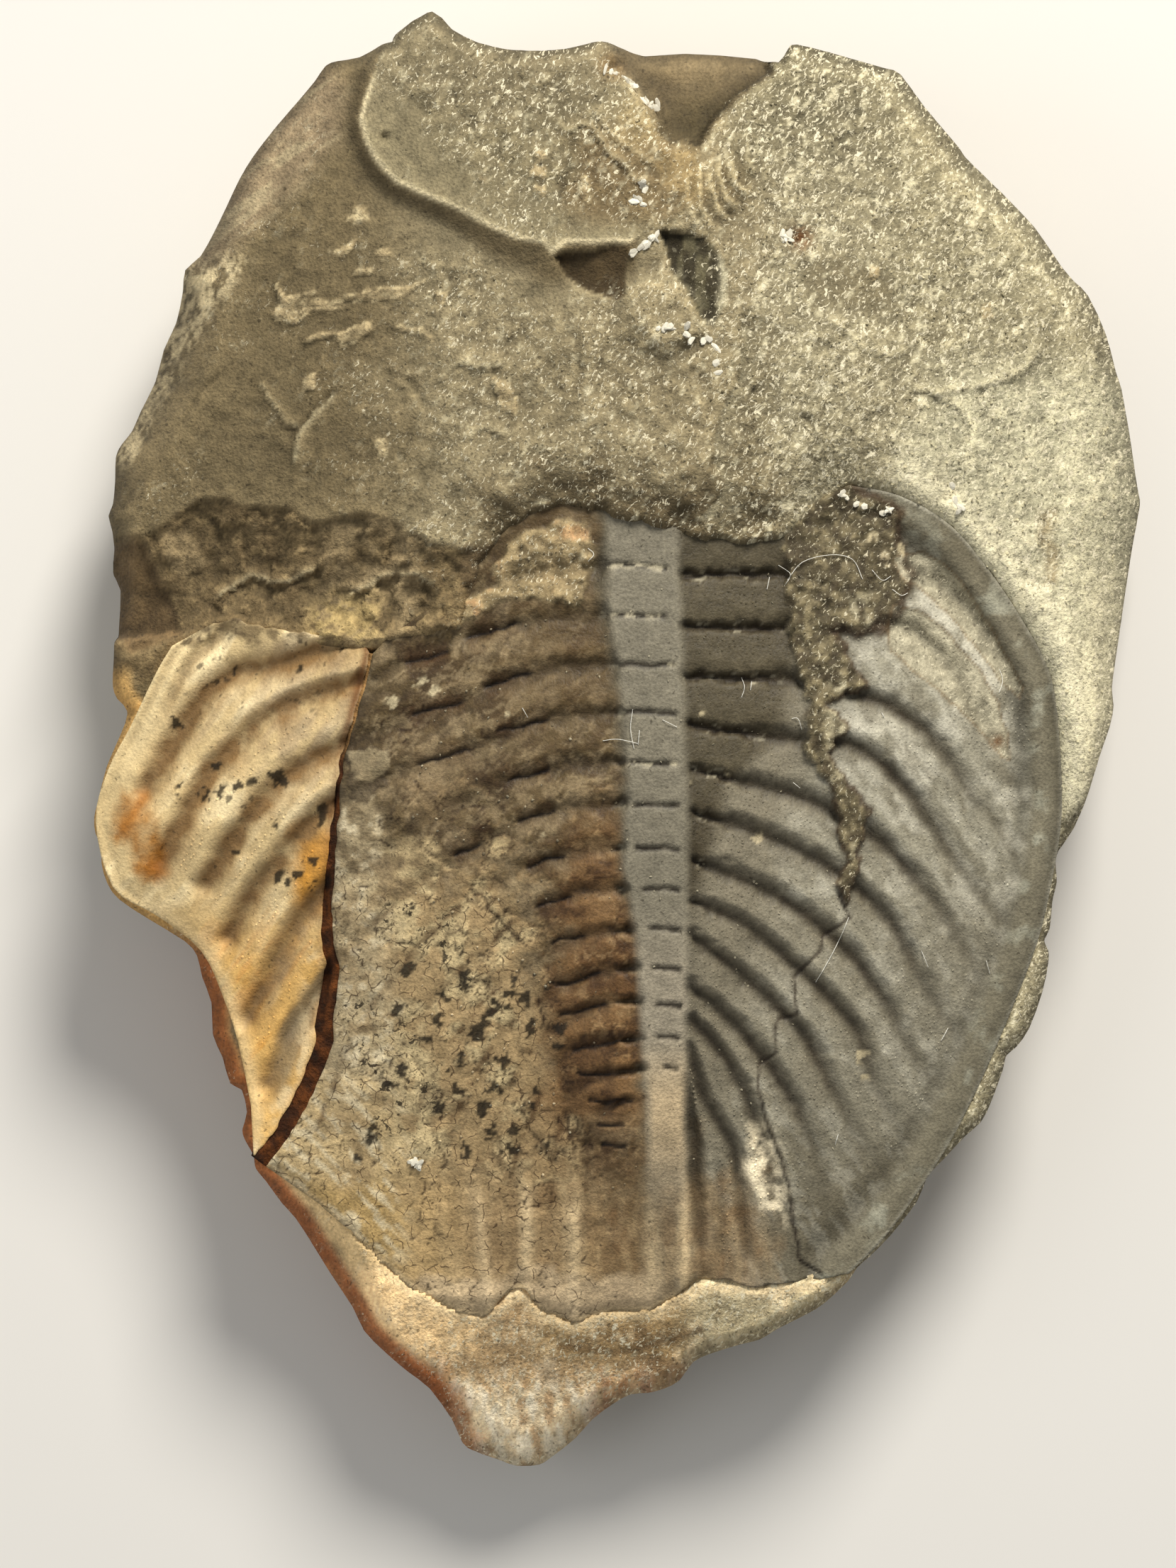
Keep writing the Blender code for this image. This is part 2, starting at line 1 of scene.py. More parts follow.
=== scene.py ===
# A trilobite's tail shield in its rock, dressed for a close view. Places and sizes here are in millimetres.
import math
import bpy
import numpy as np
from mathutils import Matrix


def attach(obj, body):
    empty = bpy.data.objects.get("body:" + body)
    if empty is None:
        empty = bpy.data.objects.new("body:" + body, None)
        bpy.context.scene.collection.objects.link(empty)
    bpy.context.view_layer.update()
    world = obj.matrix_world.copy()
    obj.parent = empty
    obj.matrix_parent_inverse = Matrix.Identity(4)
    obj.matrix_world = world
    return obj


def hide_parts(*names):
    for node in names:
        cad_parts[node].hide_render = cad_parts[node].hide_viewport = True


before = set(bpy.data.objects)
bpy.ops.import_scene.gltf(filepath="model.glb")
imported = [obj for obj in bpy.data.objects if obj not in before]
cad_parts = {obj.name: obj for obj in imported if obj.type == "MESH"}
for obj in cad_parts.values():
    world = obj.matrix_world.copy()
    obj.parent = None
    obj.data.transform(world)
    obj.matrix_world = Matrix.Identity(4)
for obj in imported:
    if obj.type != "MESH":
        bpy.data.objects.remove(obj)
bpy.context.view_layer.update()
mm = 0.001
coarser = 1.0


def report(stage):
    print("stage:", stage, flush=True)


# Numbers that vary over a place: smooth lattice noise, its layered sum, and cells with random numbers
def lattice(ix, iy, iz, seed):
    mixed = (
        ix.astype(np.uint32) * np.uint32(374761393)
        + iy.astype(np.uint32) * np.uint32(668265263)
        + iz.astype(np.uint32) * np.uint32(2246822519)
        + np.uint32((seed * 3266489917) % 4294967296)
    )
    mixed = (mixed ^ (mixed >> np.uint32(13))) * np.uint32(1274126177)
    mixed = (mixed ^ (mixed >> np.uint32(15))) * np.uint32(2654435761)
    return (mixed ^ (mixed >> np.uint32(16))).astype(np.float64) / 4294967295.0


def noise(x, y, z, size, seed):
    place = [np.asarray(v, float) / size + 1000.0 for v in (x, y, z)]
    whole = [np.floor(v).astype(np.int64) for v in place]
    part = [v - w for v, w in zip(place, whole)]
    part = [t * t * t * (t * (t * 6 - 15) + 10) for t in part]
    total = 0
    for dx in (0, 1):
        for dy in (0, 1):
            for dz in (0, 1):
                weight = 1.0
                for t, d in zip(part, (dx, dy, dz)):
                    weight = weight * (t if d else 1 - t)
                total = total + weight * lattice(whole[0] + dx, whole[1] + dy, whole[2] + dz, seed)
    return total * 2 - 1


def layered(x, y, z, size, levels, seed, fade=0.5):
    total, share, whole = 0, 1.0, 0
    for level in range(levels):
        total = total + share * noise(x, y, z, size / 2.03**level, seed + 17 * level)
        whole += share
        share *= fade
    return total / whole


def chips(x, y, size, seed):
    # nearest and second nearest cell, where the nearest one's middle is, and three random numbers for it
    u, v = x / size + 500, y / size + 500
    iu, iv = np.floor(u).astype(np.int64), np.floor(v).astype(np.int64)
    first = np.full(np.shape(x), 9.0)
    second = first.copy()
    mu, mv = np.zeros(np.shape(x)), np.zeros(np.shape(x))
    cu, cv = iu.copy(), iv.copy()
    nought = np.zeros_like(iu)
    for du in (-1, 0, 1):
        for dv in (-1, 0, 1):
            pu = iu + du + lattice(iu + du, iv + dv, nought, seed)
            pv = iv + dv + lattice(iu + du, iv + dv, nought + 1, seed)
            gap = np.hypot(pu - u, pv - v)
            near = gap < first
            second = np.where(near, first, np.minimum(second, gap))
            first = np.where(near, gap, first)
            mu, mv = np.where(near, pu, mu), np.where(near, pv, mv)
            cu, cv = np.where(near, iu + du, cu), np.where(near, iv + dv, cv)
    dice = [lattice(cu, cv, nought + k, seed + 5) for k in (2, 3, 4)]
    return first, second, (u - mu) * size, (v - mv) * size, dice


# Lines and outlines seen from above
def ease(value):
    value = np.clip(value, 0, 1)
    return value * value * (3 - 2 * value)


def bell(gap, width):
    return np.exp(-((gap / width) ** 2))


def curved(points, closed=False, steps=4):
    p = np.array(points, float)
    p = np.vstack([p[-1:], p, p[:2]]) if closed else np.vstack([2 * p[0] - p[1], p, 2 * p[-1] - p[-2]])
    t = np.arange(steps)[:, None] / steps
    out = []
    for a, b, c, d in zip(p, p[1:], p[2:], p[3:]):
        square, cube = 2 * a - 5 * b + 4 * c - d, 3 * b - a - 3 * c + d
        out.append(0.5 * (2 * b + (c - a) * t + square * t**2 + cube * t**3))
    out = np.vstack(out)
    return [tuple(q) for q in (out if closed else np.vstack([out, p[-2:-1]]))]


def gapTo(x, y, line, reach=None):
    # distance to a line, the side (positive on its right) and how far along it, from 0 to 1
    gap = np.full(np.shape(x), 1e3)
    side = np.ones(np.shape(x))
    place = np.zeros(np.shape(x))
    pts = np.array(line, float)
    if reach is None:
        chosen = slice(None)
    else:
        low, high = pts.min(0) - reach, pts.max(0) + reach
        chosen = np.nonzero((x > low[0]) & (x < high[0]) & (y > low[1]) & (y < high[1]))
    px, py = x[chosen], y[chosen]
    best, bestSide, bestPlace = gap[chosen], side[chosen], place[chosen]
    lengths = np.hypot(*(pts[1:] - pts[:-1]).T) + 1e-9
    starts = np.concatenate([[0], np.cumsum(lengths)])
    for k in range(len(pts) - 1):
        (ax, ay), (bx, by) = pts[k], pts[k + 1]
        dx, dy = bx - ax, by - ay
        along = np.clip(((px - ax) * dx + (py - ay) * dy) / lengths[k] ** 2, 0, 1)
        ox, oy = px - ax - along * dx, py - ay - along * dy
        now = np.hypot(ox, oy)
        closer = now < best - 1e-9
        best = np.where(closer, now, best)
        bestSide = np.where(closer, np.sign(dy * ox - dx * oy), bestSide)
        bestPlace = np.where(closer, (starts[k] + along * lengths[k]) / starts[-1], bestPlace)
    gap[chosen], side[chosen], place[chosen] = best, bestSide, bestPlace
    return gap, side, place


def isInside(x, y, outline):
    inside = np.zeros(np.shape(x), bool)
    closed = list(outline) + [outline[0]]
    for (ax, ay), (bx, by) in zip(closed, closed[1:]):
        if ay != by:
            inside ^= ((ay > y) != (by > y)) & (x < (bx - ax) * (y - ay) / (by - ay) + ax)
    return inside


def depthInside(x, y, outline, reach=None):
    gap = gapTo(x, y, list(outline) + [outline[0]], reach)[0]
    return np.where(isInside(x, y, outline), gap, -gap)


def within(x, y, outline, edge):
    # 1 inside an outline, 0 outside it, over an edge of this width
    edge = max(edge, 1e-3)
    return ease(depthInside(x, y, outline, edge + 1) / edge + 0.5)


def blotch(x, y, place, width, height):
    # 1 in the middle of an oval, 0 outside it
    return ease(1 - np.hypot((x - place[0]) / width, (y - place[1]) / height))


def spot(x, y, place, width):
    return bell(np.hypot(x - place[0], y - place[1]), width)


def borderOf(mask):
    # 1 where a mask passes from 0 to 1
    return np.clip(4 * mask * (1 - mask), 0, 1)


def movedSideways(line, distances):
    points = np.array(line, float)
    ahead = np.gradient(points, axis=0)
    ahead /= np.linalg.norm(ahead, axis=1)[:, None]
    left = np.stack([-ahead[:, 1], ahead[:, 0]], 1)
    return [tuple(p) for p in points + np.array(distances, float)[:, None] * left]


def lengthsTo(points):
    # how far along a line each of its points lies
    return np.concatenate([[0], np.cumsum(np.hypot(*np.diff(points, axis=0).T))])


def roughened(line, amount, size, seed):
    # the same line in short steps, moved to and fro
    points = np.array(line, float)
    lengths = lengthsTo(points)
    places = np.linspace(0, lengths[-1], int(lengths[-1] / 0.3) + 2)
    x, y = (np.interp(places, lengths, points[:, k]) for k in (0, 1))
    keep = amount * ease(np.minimum(places, lengths[-1] - places) / 0.6)
    dx, dy = layered(x, y, 0, size, 3, seed), layered(x, y, 0, size, 3, seed + 1)
    return [tuple(p) for p in np.stack([x + keep * dx, y + keep * dy], 1)]


def toLight(colour):
    # a colour as a paint chart gives it, 0 to 255, to the renderer's linear numbers
    c = np.array(colour, float) / 255
    return np.where(c <= 0.04045, c / 12.92, ((c + 0.055) / 1.055) ** 2.4)


def paint(tone, colour, mask):
    tone += (toLight(colour) - tone) * np.clip(mask, 0, 1)[:, None]


def strokes(x, y, lines, width, blunt=0.12):
    # 1 along each of these lines, fading over this width and towards their ends
    mask = np.zeros(np.shape(x))
    for line in lines:
        gap, along = gapTo(x, y, curved(line, steps=3), width * 2.6)[::2]
        shown = bell(gap, width) * ease(along / blunt + 0.1) * ease((1 - along) / blunt + 0.1)
        mask = np.maximum(mask, shown)
    return mask


def scarp(x, y, line, height, reach, edge=0.22):
    # a broken edge: its left side stands up by this height and falls back over this reach
    gap, side, along = gapTo(x, y, curved(line, steps=3), reach)
    taper = ease(along / 0.12) * ease((1 - along) / 0.12)
    return height * taper * np.clip(1 - gap / reach, 0, 1) ** 1.4 * ease(0.5 - side * gap / edge)


def shaken(x, y, amount, size, levels, seed):
    # the same places moved a little, so that edges drawn there wander
    return tuple(v + amount * layered(x, y, 0, size, levels, seed + k) for k, v in enumerate((x, y)))


def spotsAt(x, y, spots, jag, grow=1.0, flat=1.0):
    # ragged round spots; jag moves their edges in and out
    mask = np.zeros(len(x))
    for sx, sy, radius in spots:
        gap = np.hypot(x - sx, (y - sy) * flat)
        mask = np.maximum(mask, ease((radius * grow - gap + jag) / 0.16) * (gap < 1.6))
    return mask


def plain(colour, count):
    return np.tile(toLight(colour), (count, 1))


def marksOf(count, *shares):
    # pale flecks, dark grains, cracks and gloss of every point
    return np.stack([np.broadcast_to(share, count) for share in shares], 1).astype(float)


# Meshes
def gridOver(outline, cell, leaveOut=None):
    # square cells over an outline, the outer edge drawn onto it; leaveOut(x, y) marks cells to leave open
    edge = np.array(outline, float)
    (x0, y0), (x1, y1) = edge.min(0) - 2 * cell, edge.max(0) + 2 * cell
    nx, ny = int((x1 - x0) / cell) + 1, int((y1 - y0) / cell) + 1
    columns, rows = x0 + (np.arange(nx) + 0.5) * cell, y0 + (np.arange(ny) + 0.5) * cell
    gx, gy = np.meshgrid(columns, rows, indexing="ij")
    kept = isInside(gx, gy, outline)
    if leaveOut is not None:
        kept &= ~leaveOut(gx.ravel(), gy.ravel()).reshape(nx, ny)
    for _ in range(20):
        a, b, c, d = kept[:-1, :-1], kept[1:, :-1], kept[:-1, 1:], kept[1:, 1:]
        i, j = np.nonzero((a & d & ~b & ~c) | (b & c & ~a & ~d))
        if not len(i):
            break
        for di in (0, 1):
            for dj in (0, 1):
                kept[i + di, j + dj] = True
    i, j = np.nonzero(kept)
    wide = ny + 1
    corners = np.stack([i * wide + j, (i + 1) * wide + j, (i + 1) * wide + j + 1, i * wide + j + 1], 1)
    used, quads = np.unique(corners, return_inverse=True)
    quads = quads.reshape(-1, 4)
    x, y = x0 + (used // wide) * cell, y0 + (used % wide) * cell
    n = len(used)
    starts, ends = quads.ravel(), np.roll(quads, -1, 1).ravel()
    lone = ~np.isin(starts.astype(np.int64) * n + ends, ends.astype(np.int64) * n + starts)
    follow = dict(zip(starts[lone].tolist(), ends[lone].tolist()))
    loops = []
    while follow:
        first, now = next(iter(follow.items()))
        loop = [first]
        del follow[first]
        while now != first:
            loop.append(now)
            now = follow.pop(now)
        loops.append(np.array(loop))
    loops.sort(key=len, reverse=True)
    loops.sort(key=lambda loop: -(x[loop].max() - x[loop].min()))
    rim = loops[0]
    ring = np.vstack([edge, edge[:1]])
    best, bx, by = np.full(len(rim), 1e9), x[rim].copy(), y[rim].copy()
    for a, b in zip(ring, ring[1:]):
        d = b - a
        along = np.clip(((x[rim] - a[0]) * d[0] + (y[rim] - a[1]) * d[1]) / max(d @ d, 1e-12), 0, 1)
        qx, qy = a[0] + along * d[0], a[1] + along * d[1]
        gap = np.hypot(qx - x[rim], qy - y[rim])
        near = gap < best
        best, bx, by = np.where(near, gap, best), np.where(near, qx, bx), np.where(near, qy, by)
    x[rim], y[rim] = bx, by
    return x, y, quads, loops


def standsOut(quads, z, rounds):
    # how far each point stands over its smoothed surroundings
    corners = quads.ravel()
    share = np.bincount(corners, minlength=len(z))
    level = z.copy()
    for _ in range(int(rounds / coarser**2) + 1):
        level = np.bincount(corners, np.repeat(level[quads].mean(1), 4), len(z)) / share
    return z - level


def wallFaces(upper, lower):
    n = len(upper)
    nxt = np.roll(np.arange(n), -1)
    if len(lower) == n:
        return np.stack([upper, lower, lower[nxt], upper[nxt]], 1).tolist()
    faces = []
    half = np.arange(0, n, 2)
    a0, a1, a2 = upper[half], upper[half + 1], upper[nxt[half + 1]]
    b0, b1 = lower, np.roll(lower, -1)
    for three in ((a0, b0, a1), (a1, b0, b1), (a1, b1, a2)):
        faces += np.stack(three, 1).tolist()
    return faces


def fanFaces(loop, middle):
    return np.stack([np.roll(loop, -1), loop, np.full(len(loop), middle)], 1).tolist()


def solidMesh(name, points, faces, colours, lie, edges=()):
    # the materials read "lie", a place on the surface in mm, and the colours "tone" and "marks"
    mesh = bpy.data.meshes.new(name)
    mesh.from_pydata((np.asarray(points) * mm).tolist(), list(edges), faces)
    mesh.validate()
    layer = mesh.attributes.new("lie", "FLOAT_VECTOR", "POINT")
    layer.data.foreach_set("vector", np.hstack([lie, np.zeros((len(lie), 1))]).astype(np.float32).ravel())
    for key, values in colours.items():
        layer = mesh.attributes.new(key, "FLOAT_COLOR", "POINT")
        full = np.ones((len(values), 4), np.float32)
        full[:, : values.shape[1]] = values
        layer.data.foreach_set("color", full.ravel())
    mesh.polygons.foreach_set("use_smooth", np.ones(len(mesh.polygons), bool))
    mesh.update()
    made = bpy.data.objects.new(name, mesh)
    bpy.context.scene.collection.objects.link(made)
    return made


def finished(piece, material, slot, *nodes):
    piece.data.materials.clear()
    piece.data.materials.append(material)
    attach(piece, "root")
    if nodes:
        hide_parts(*nodes)
    print("   ", piece.name, sum(len(p.vertices) - 2 for p in piece.data.polygons), "triangles", flush=True)
    return piece


# Camera, floor and light
view = {
    "aim": (-2.2, -2.5, 17.0),
    "lens": 180.0,
    "sensor": 36,
    "seenLength": 106.2,  # what the picture's long side spans at the aim
    "floorHalf": 1.5,  # in metres
    "floorColour": (226, 222, 214),
    "skyColour": (0.95, 0.97, 1, 1),
    "skyStrength": 0.30,
}
lamps = {  # place and size in metres, power, colour
    "key": ((0.12, 0.38, 0.34), 0.2, 3.5, (1, 0.975, 0.93)),
    "fill": ((-0.45, -0.05, 0.38), 0.45, 0.7, (0.97, 0.985, 1)),
}


def areaLight(name, place, size, power, colour):
    lamp = bpy.data.lights.new(name, "AREA")
    lamp.shape = "DISK"
    lamp.size = size
    lamp.energy = power
    lamp.color = colour
    made = bpy.data.objects.new(name, lamp)
    bpy.context.scene.collection.objects.link(made)
    made.location = place
    aim = -made.location
    made.rotation_euler = aim.to_track_quat("-Z", "Y").to_euler()
    return made


def setStage():
    camera = bpy.data.cameras.new("camera")
    camera.lens = view["lens"]
    camera.sensor_width = view["sensor"]
    camera.sensor_fit = "AUTO"
    camera.clip_start = 0.01
    seat = bpy.data.objects.new("camera", camera)
    bpy.context.scene.collection.objects.link(seat)
    x, y, z = view["aim"]
    away = view["lens"] / view["sensor"] * view["seenLength"]
    seat.location = (x * mm, y * mm, (z + away) * mm)
    bpy.context.scene.camera = seat

    half = view["floorHalf"]
    mesh = bpy.data.meshes.new("floor")
    corners = [(-half, -half, 0), (half, -half, 0), (half, half, 0), (-half, half, 0)]
    mesh.from_pydata(corners, [], [(0, 1, 2, 3)])
    floor = bpy.data.objects.new("floor", mesh)
    bpy.context.scene.collection.objects.link(floor)
    paper = bpy.data.materials.new("paper")
    paper.use_nodes = True
    sheet = paper.node_tree.nodes["Principled BSDF"]
    sheet.inputs["Base Color"].default_value = (*toLight(view["floorColour"]), 1)
    sheet.inputs["Roughness"].default_value = 0.9
    mesh.materials.append(paper)

    for name, values in lamps.items():
        areaLight(name, *values)
    bpy.context.scene.view_settings.view_transform = "Standard"
    sky = bpy.data.worlds.new("sky")
    bpy.context.scene.world = sky
    sky.use_nodes = True
    light = sky.node_tree.nodes["Background"].inputs
    light["Color"].default_value = view["skyColour"]
    light["Strength"].default_value = view["skyStrength"]


setStage()
report("camera, floor and light")


# Node trees. A Value stands for a node's output, and each sum with it adds a Math node
class Value:
    def __init__(self, tree, socket):
        self.tree = tree
        self.socket = socket

    def made(self, operation, first, second):
        return self.tree.add("ShaderNodeMath", {"operation": operation}, {0: first, 1: second})

    def __add__(self, other):
        return self.made("ADD", self, other)

    __radd__ = __add__

    def __mul__(self, other):
        return self.made("MULTIPLY", self, other)

    __rmul__ = __mul__

    def __sub__(self, other):
        return self.made("SUBTRACT", self, other)

    def __rsub__(self, other):
        return self.made("SUBTRACT", other, self)


class Tree:
    def __init__(self, name):
        self.material = bpy.data.materials.new(name)
        self.material.use_nodes = True
        self.nodes = self.material.node_tree.nodes
        self.links = self.material.node_tree.links
        self.shader = self.nodes["Principled BSDF"]

    def add(self, kind, settings=None, values=None, out=0):
        # a node of this type: its settings first, then the values or links of its sockets
        node = self.nodes.new(kind)
        for key, setting in (settings or {}).items():
            setattr(node, key, setting)
        for key, value in (values or {}).items():
            self.put(node.inputs[key], value)
        return Value(self, node.outputs[out])

    def put(self, socket, value):
        if isinstance(value, Value):
            self.links.new(value.socket, socket)
        elif value is not None:
            socket.default_value = value

    def parts(self, colour):
        node = self.nodes.new("ShaderNodeSeparateColor")
        self.links.new(colour.socket, node.inputs[0])
        return [Value(self, socket) for socket in node.outputs]

    def attribute(self, name, out="Color"):
        return self.add("ShaderNodeAttribute", {"attribute_name": name}, out=out)

    def noise(self, where, size, detail=4.0, rough=0.55):
        return self.add(
            "ShaderNodeTexNoise",
            {"noise_dimensions": "2D"},
            {"Vector": where, "Scale": 1 / size, "Detail": detail, "Roughness": rough},
        )

    def blend(self, share, first, second, mode="MIX"):
        return self.add(
            "ShaderNodeMix",
            {"data_type": "RGBA", "blend_type": mode, "clamp_factor": True},
            {0: share, 6: first, 7: second},
            out=2,
        )

    def stained(self, colour, share, stain):
        return self.blend(share, colour, (*toLight(stain), 1))

    def higher(self, first, second):
        return self.add("ShaderNodeMath", {"operation": "MAXIMUM"}, {0: first, 1: second})

    def scaled(self, colour, amount):
        return self.add("ShaderNodeVectorMath", {"operation": "SCALE"}, {0: colour, "Scale": amount})

    def between(self, value, low, high):
        # 0 below low, 1 above high, smooth in between
        return self.add(
            "ShaderNodeMapRange",
            {"interpolation_type": "SMOOTHSTEP", "clamp": True},
            {"Value": value, "From Min": low, "From Max": high},
        )

    def turned(self, where, angle, stretch):
        return self.add(
            "ShaderNodeMapping",
            {"vector_type": "TEXTURE"},
            {"Vector": where, "Rotation": (0, 0, math.radians(angle)), "Scale": stretch},
        )

    def cells(self, where, size, feature="F1", out="Distance"):
        return self.add(
            "ShaderNodeTexVoronoi", {"feature": feature, "voronoi_dimensions": "2D"},
            {"Vector": where, "Scale": 1 / size}, out,
        )

    def grains(self, where, size, share, low, high):
        # round spots in a share of the cells
        node = self.cells(where, size)
        dice = self.parts(Value(self, node.socket.node.outputs["Color"]))
        chosen = self.add("ShaderNodeMath", {"operation": "LESS_THAN"}, {0: dice[0], 1: share})
        radius = low + (high - low) * dice[1]
        return self.between(radius - node, -0.02, 0.10) * chosen

    def bump(self, height, distance, strength):
        return self.add(
            "ShaderNodeBump",
            values={"Height": height, "Distance": distance * mm, "Strength": strength},
        )


finish = {
    "paleFleck": (234, 223, 190),
    "darkGrain": (44, 36, 23),
    "pit": (72, 62, 42),
    "crack": (58, 40, 24),
    "mottleSize": 0.9,
    "grainSize": 0.2,
    "bend": 0.5,  # how far the flecks wander from straight rows
    "blotSize": 0.8,
    "crackCell": 1.1,
    "crackWidth": 0.06,
    "specular": 0.22,
    "bumpDepth": 0.12,
    "bumpStrength": 0.9,
}


def stone(name, rough, gloss, mottles, fleckSize, fleckShare, bumps):
    # colour zones come from the mesh in "tone"; "marks" holds pale flecks, dark grains, cracks and gloss;
    # "lie" runs over the faces in millimetres and goes on down the walls
    t = Tree(name)
    here = t.attribute("lie", out="Vector")
    tone = t.attribute("tone")
    flecky, grainy, cracked = t.parts(t.attribute("marks"))
    smooth = t.attribute("marks", out="Alpha")
    mid, fine = t.noise(here, finish["mottleSize"], 3), t.noise(here, finish["grainSize"], 2)
    colour = t.scaled(tone, 1 + (mid - 0.5) * mottles[0] + (fine - 0.5) * mottles[1])
    flat = {"noise_dimensions": "2D"}
    swirl = t.add("ShaderNodeTexNoise", flat, {"Vector": here, "Scale": 1.5, "Detail": 1.0}, "Color")
    shift = t.scaled(swirl, finish["bend"])
    bent = t.add("ShaderNodeVectorMath", {"operation": "ADD"}, {0: here, 1: shift})
    # pale flecks: drawn-out ones from noise and a few whole grains
    drawn = t.noise(t.turned(bent, -36, (0.6, 1.35, 1)), fleckSize, 3.0, 0.7)
    drawn = t.between(drawn + flecky * 0.08, 0.645, 0.70) * t.between(flecky, 0.05, 0.45)
    coarse = t.noise(t.turned(bent, -30, (0.7, 1.2, 1)), fleckSize * 2.4, 4.0, 0.72)
    coarse = t.between(coarse + flecky * fleckShare * 0.06, 0.675, 0.71) * t.between(flecky, 0.2, 0.6)
    pale = t.higher(drawn * 0.85, coarse)
    colour = t.stained(colour, pale * 0.9, finish["paleFleck"])
    # pits between them, dark grains and mineral blots
    pits = t.between(t.noise(bent, fleckSize * 0.8, 3.0, 0.7) - flecky * 0.03, 0.40, 0.32)
    colour = t.stained(colour, pits * flecky * 0.45, finish["pit"])
    dark = t.grains(bent, fleckSize * 0.8, grainy * 0.5, 0.12, 0.36)
    blots = t.noise(bent, finish["blotSize"], 5.0, 0.66)
    blots = t.between(blots, 0.612, 0.628) * t.between(grainy, 0.5, 0.8)
    colour = t.stained(colour, t.higher(dark * 0.5, blots * 0.9), finish["darkGrain"])
    # a broken net of fine cracks
    net = t.cells(bent, finish["crackCell"], "DISTANCE_TO_EDGE")
    line = t.between(net, finish["crackWidth"], 0.0) * t.between(mid, 0.47, 0.56) * cracked
    colour = t.stained(colour, line * 0.8, finish["crack"])
    t.put(t.shader.inputs["Base Color"], colour)
    t.put(t.shader.inputs["Roughness"], rough - smooth * gloss + (mid - 0.5) * 0.25 + pale * 0.08)
    t.shader.inputs["Specular IOR Level"].default_value = finish["specular"]
    height = mid * bumps[0] + fine * bumps[1]
    t.put(t.shader.inputs["Normal"], t.bump(height, finish["bumpDepth"], finish["bumpStrength"]))
    return t.material


limestone = stone("limestone", 0.9, 0.12, (0.55, 0.9), 0.34, 0.9, (1.2, 0.7))
greyShell = stone("greyShell", 0.72, 0.14, (0.5, 0.8), 0.34, 0.6, (0.5, 0.5))
creamShell = stone("creamShell", 0.74, 0.14, (0.35, 0.5), 0.34, 0.6, (0.45, 0.4))
ironVein = stone("ironVein", 0.9, 0.1, (0.9, 1.0), 0.3, 0.6, (1.4, 0.8))
report("materials")


# The shell: where everything lies on it, seen from above
fossil = {
    "crestHeight": 22.6,
    "crestPeakY": 5.0,
    "crestFall": 0.0045,
    "axisRelief": 1.5,
    "marginHeight": 13.0,
    "marginRise": 8.0,
    "ribRelief": 0.78,
    "ribReach": 2.7,
    "furrowWall": 0.52,
    "borderWidth": 2.6,
    "borderGroove": 0.42,
    "shellThickness": 1.4,
    "axisHalf": (2.8, 11.0),  # the axis at its narrow and its wide end
    "axisWidening": 0.27,
    "stripHeight": 0.1,  # the strip along the crest, a little raised; its paleness is painted light
    "slitDepth": 0.2,
    "cutDepth": 0.25,
    "crustHeight": (0.25, 0.3),  # rock that clings to the shell, and how uneven it is
    "patchHeight": (0.2, 0.35),
    "bareDepth": (0.16, 0.08),
    "rearDip": 0.22,
    "plateHeight": 0.12,
    "crackDepth": 0.15,
    "lipHeight": 0.18,
    "splitDepth": 0.07,
    "endHeight": 0.2,
    "troughDepth": 0.14,
    "hairDepth": 0.08,
    "grid": {"tailShield": 0.165, "leftFlank": 0.155, "ironVein": 0.13},
}
frontEdge = [
    (-28.2, 8.1), (-26.2, 8.7), (-22.8, 7.8), (-16.9, 7.1), (-13.2, 7.7), (-10.8, 8.1), (-9.6, 12.0),
    (-7.7, 14.5), (-4.0, 16.3), (-1.0, 15.6), (4.6, 14.3), (7.8, 13.6), (11.0, 14.0), (15.3, 17.6),
]
rightMargin = [
    (15.3, 17.6), (18.8, 16.9), (22.3, 14.9), (25.1, 11.7), (27.5, 8.2), (29.3, 4.7), (30.0, -0.3),
    (30.1, -5.0), (29.3, -9.9), (28.4, -13.5), (26.5, -18.4), (24.5, -23.0), (22.1, -27.6), (18.4, -33.0),
    (15.6, -35.9),
]
rearEdge = [
    (13.7, -36.3), (9.3, -36.8), (5.8, -36.3), (2.1, -38.4), (-1.0, -38.5), (-3.2, -39.3), (-5.4, -38.5),
    (-6.8, -36.8), (-9.4, -38.9), (-11.9, -38.2), (-14.3, -36.8), (-17.0, -34.4), (-20.5, -31.2),
    (-23.6, -28.9),
]
flankMargin = [
    (-25.4, -28.2), (-25.2, -24.5), (-26.0, -20.5), (-27.0, -17.3), (-28.6, -13.9), (-31.8, -11.3),
    (-34.2, -9.3), (-35.3, -5.0), (-34.4, -1.6), (-32.9, 1.2), (-31.1, 4.8), (-30.0, 6.6), (-28.2, 8.1),
]
veinLine = [
    (-16.8, 6.3), (-17.8, 2.4), (-18.7, -0.6), (-19.2, -4.4), (-19.7, -9.3), (-19.9, -13.2), (-19.5, -14.9),
    (-20.0, -17.8), (-20.2, -20.3), (-21.4, -23.3), (-23.1, -26.3), (-24.6, -28.3),
]
veinHalfWidths = [0.1, 0.1, 0.12, 0.16, 0.28, 0.38, 0.48, 0.6, 0.58, 0.52, 0.52, 0.5]
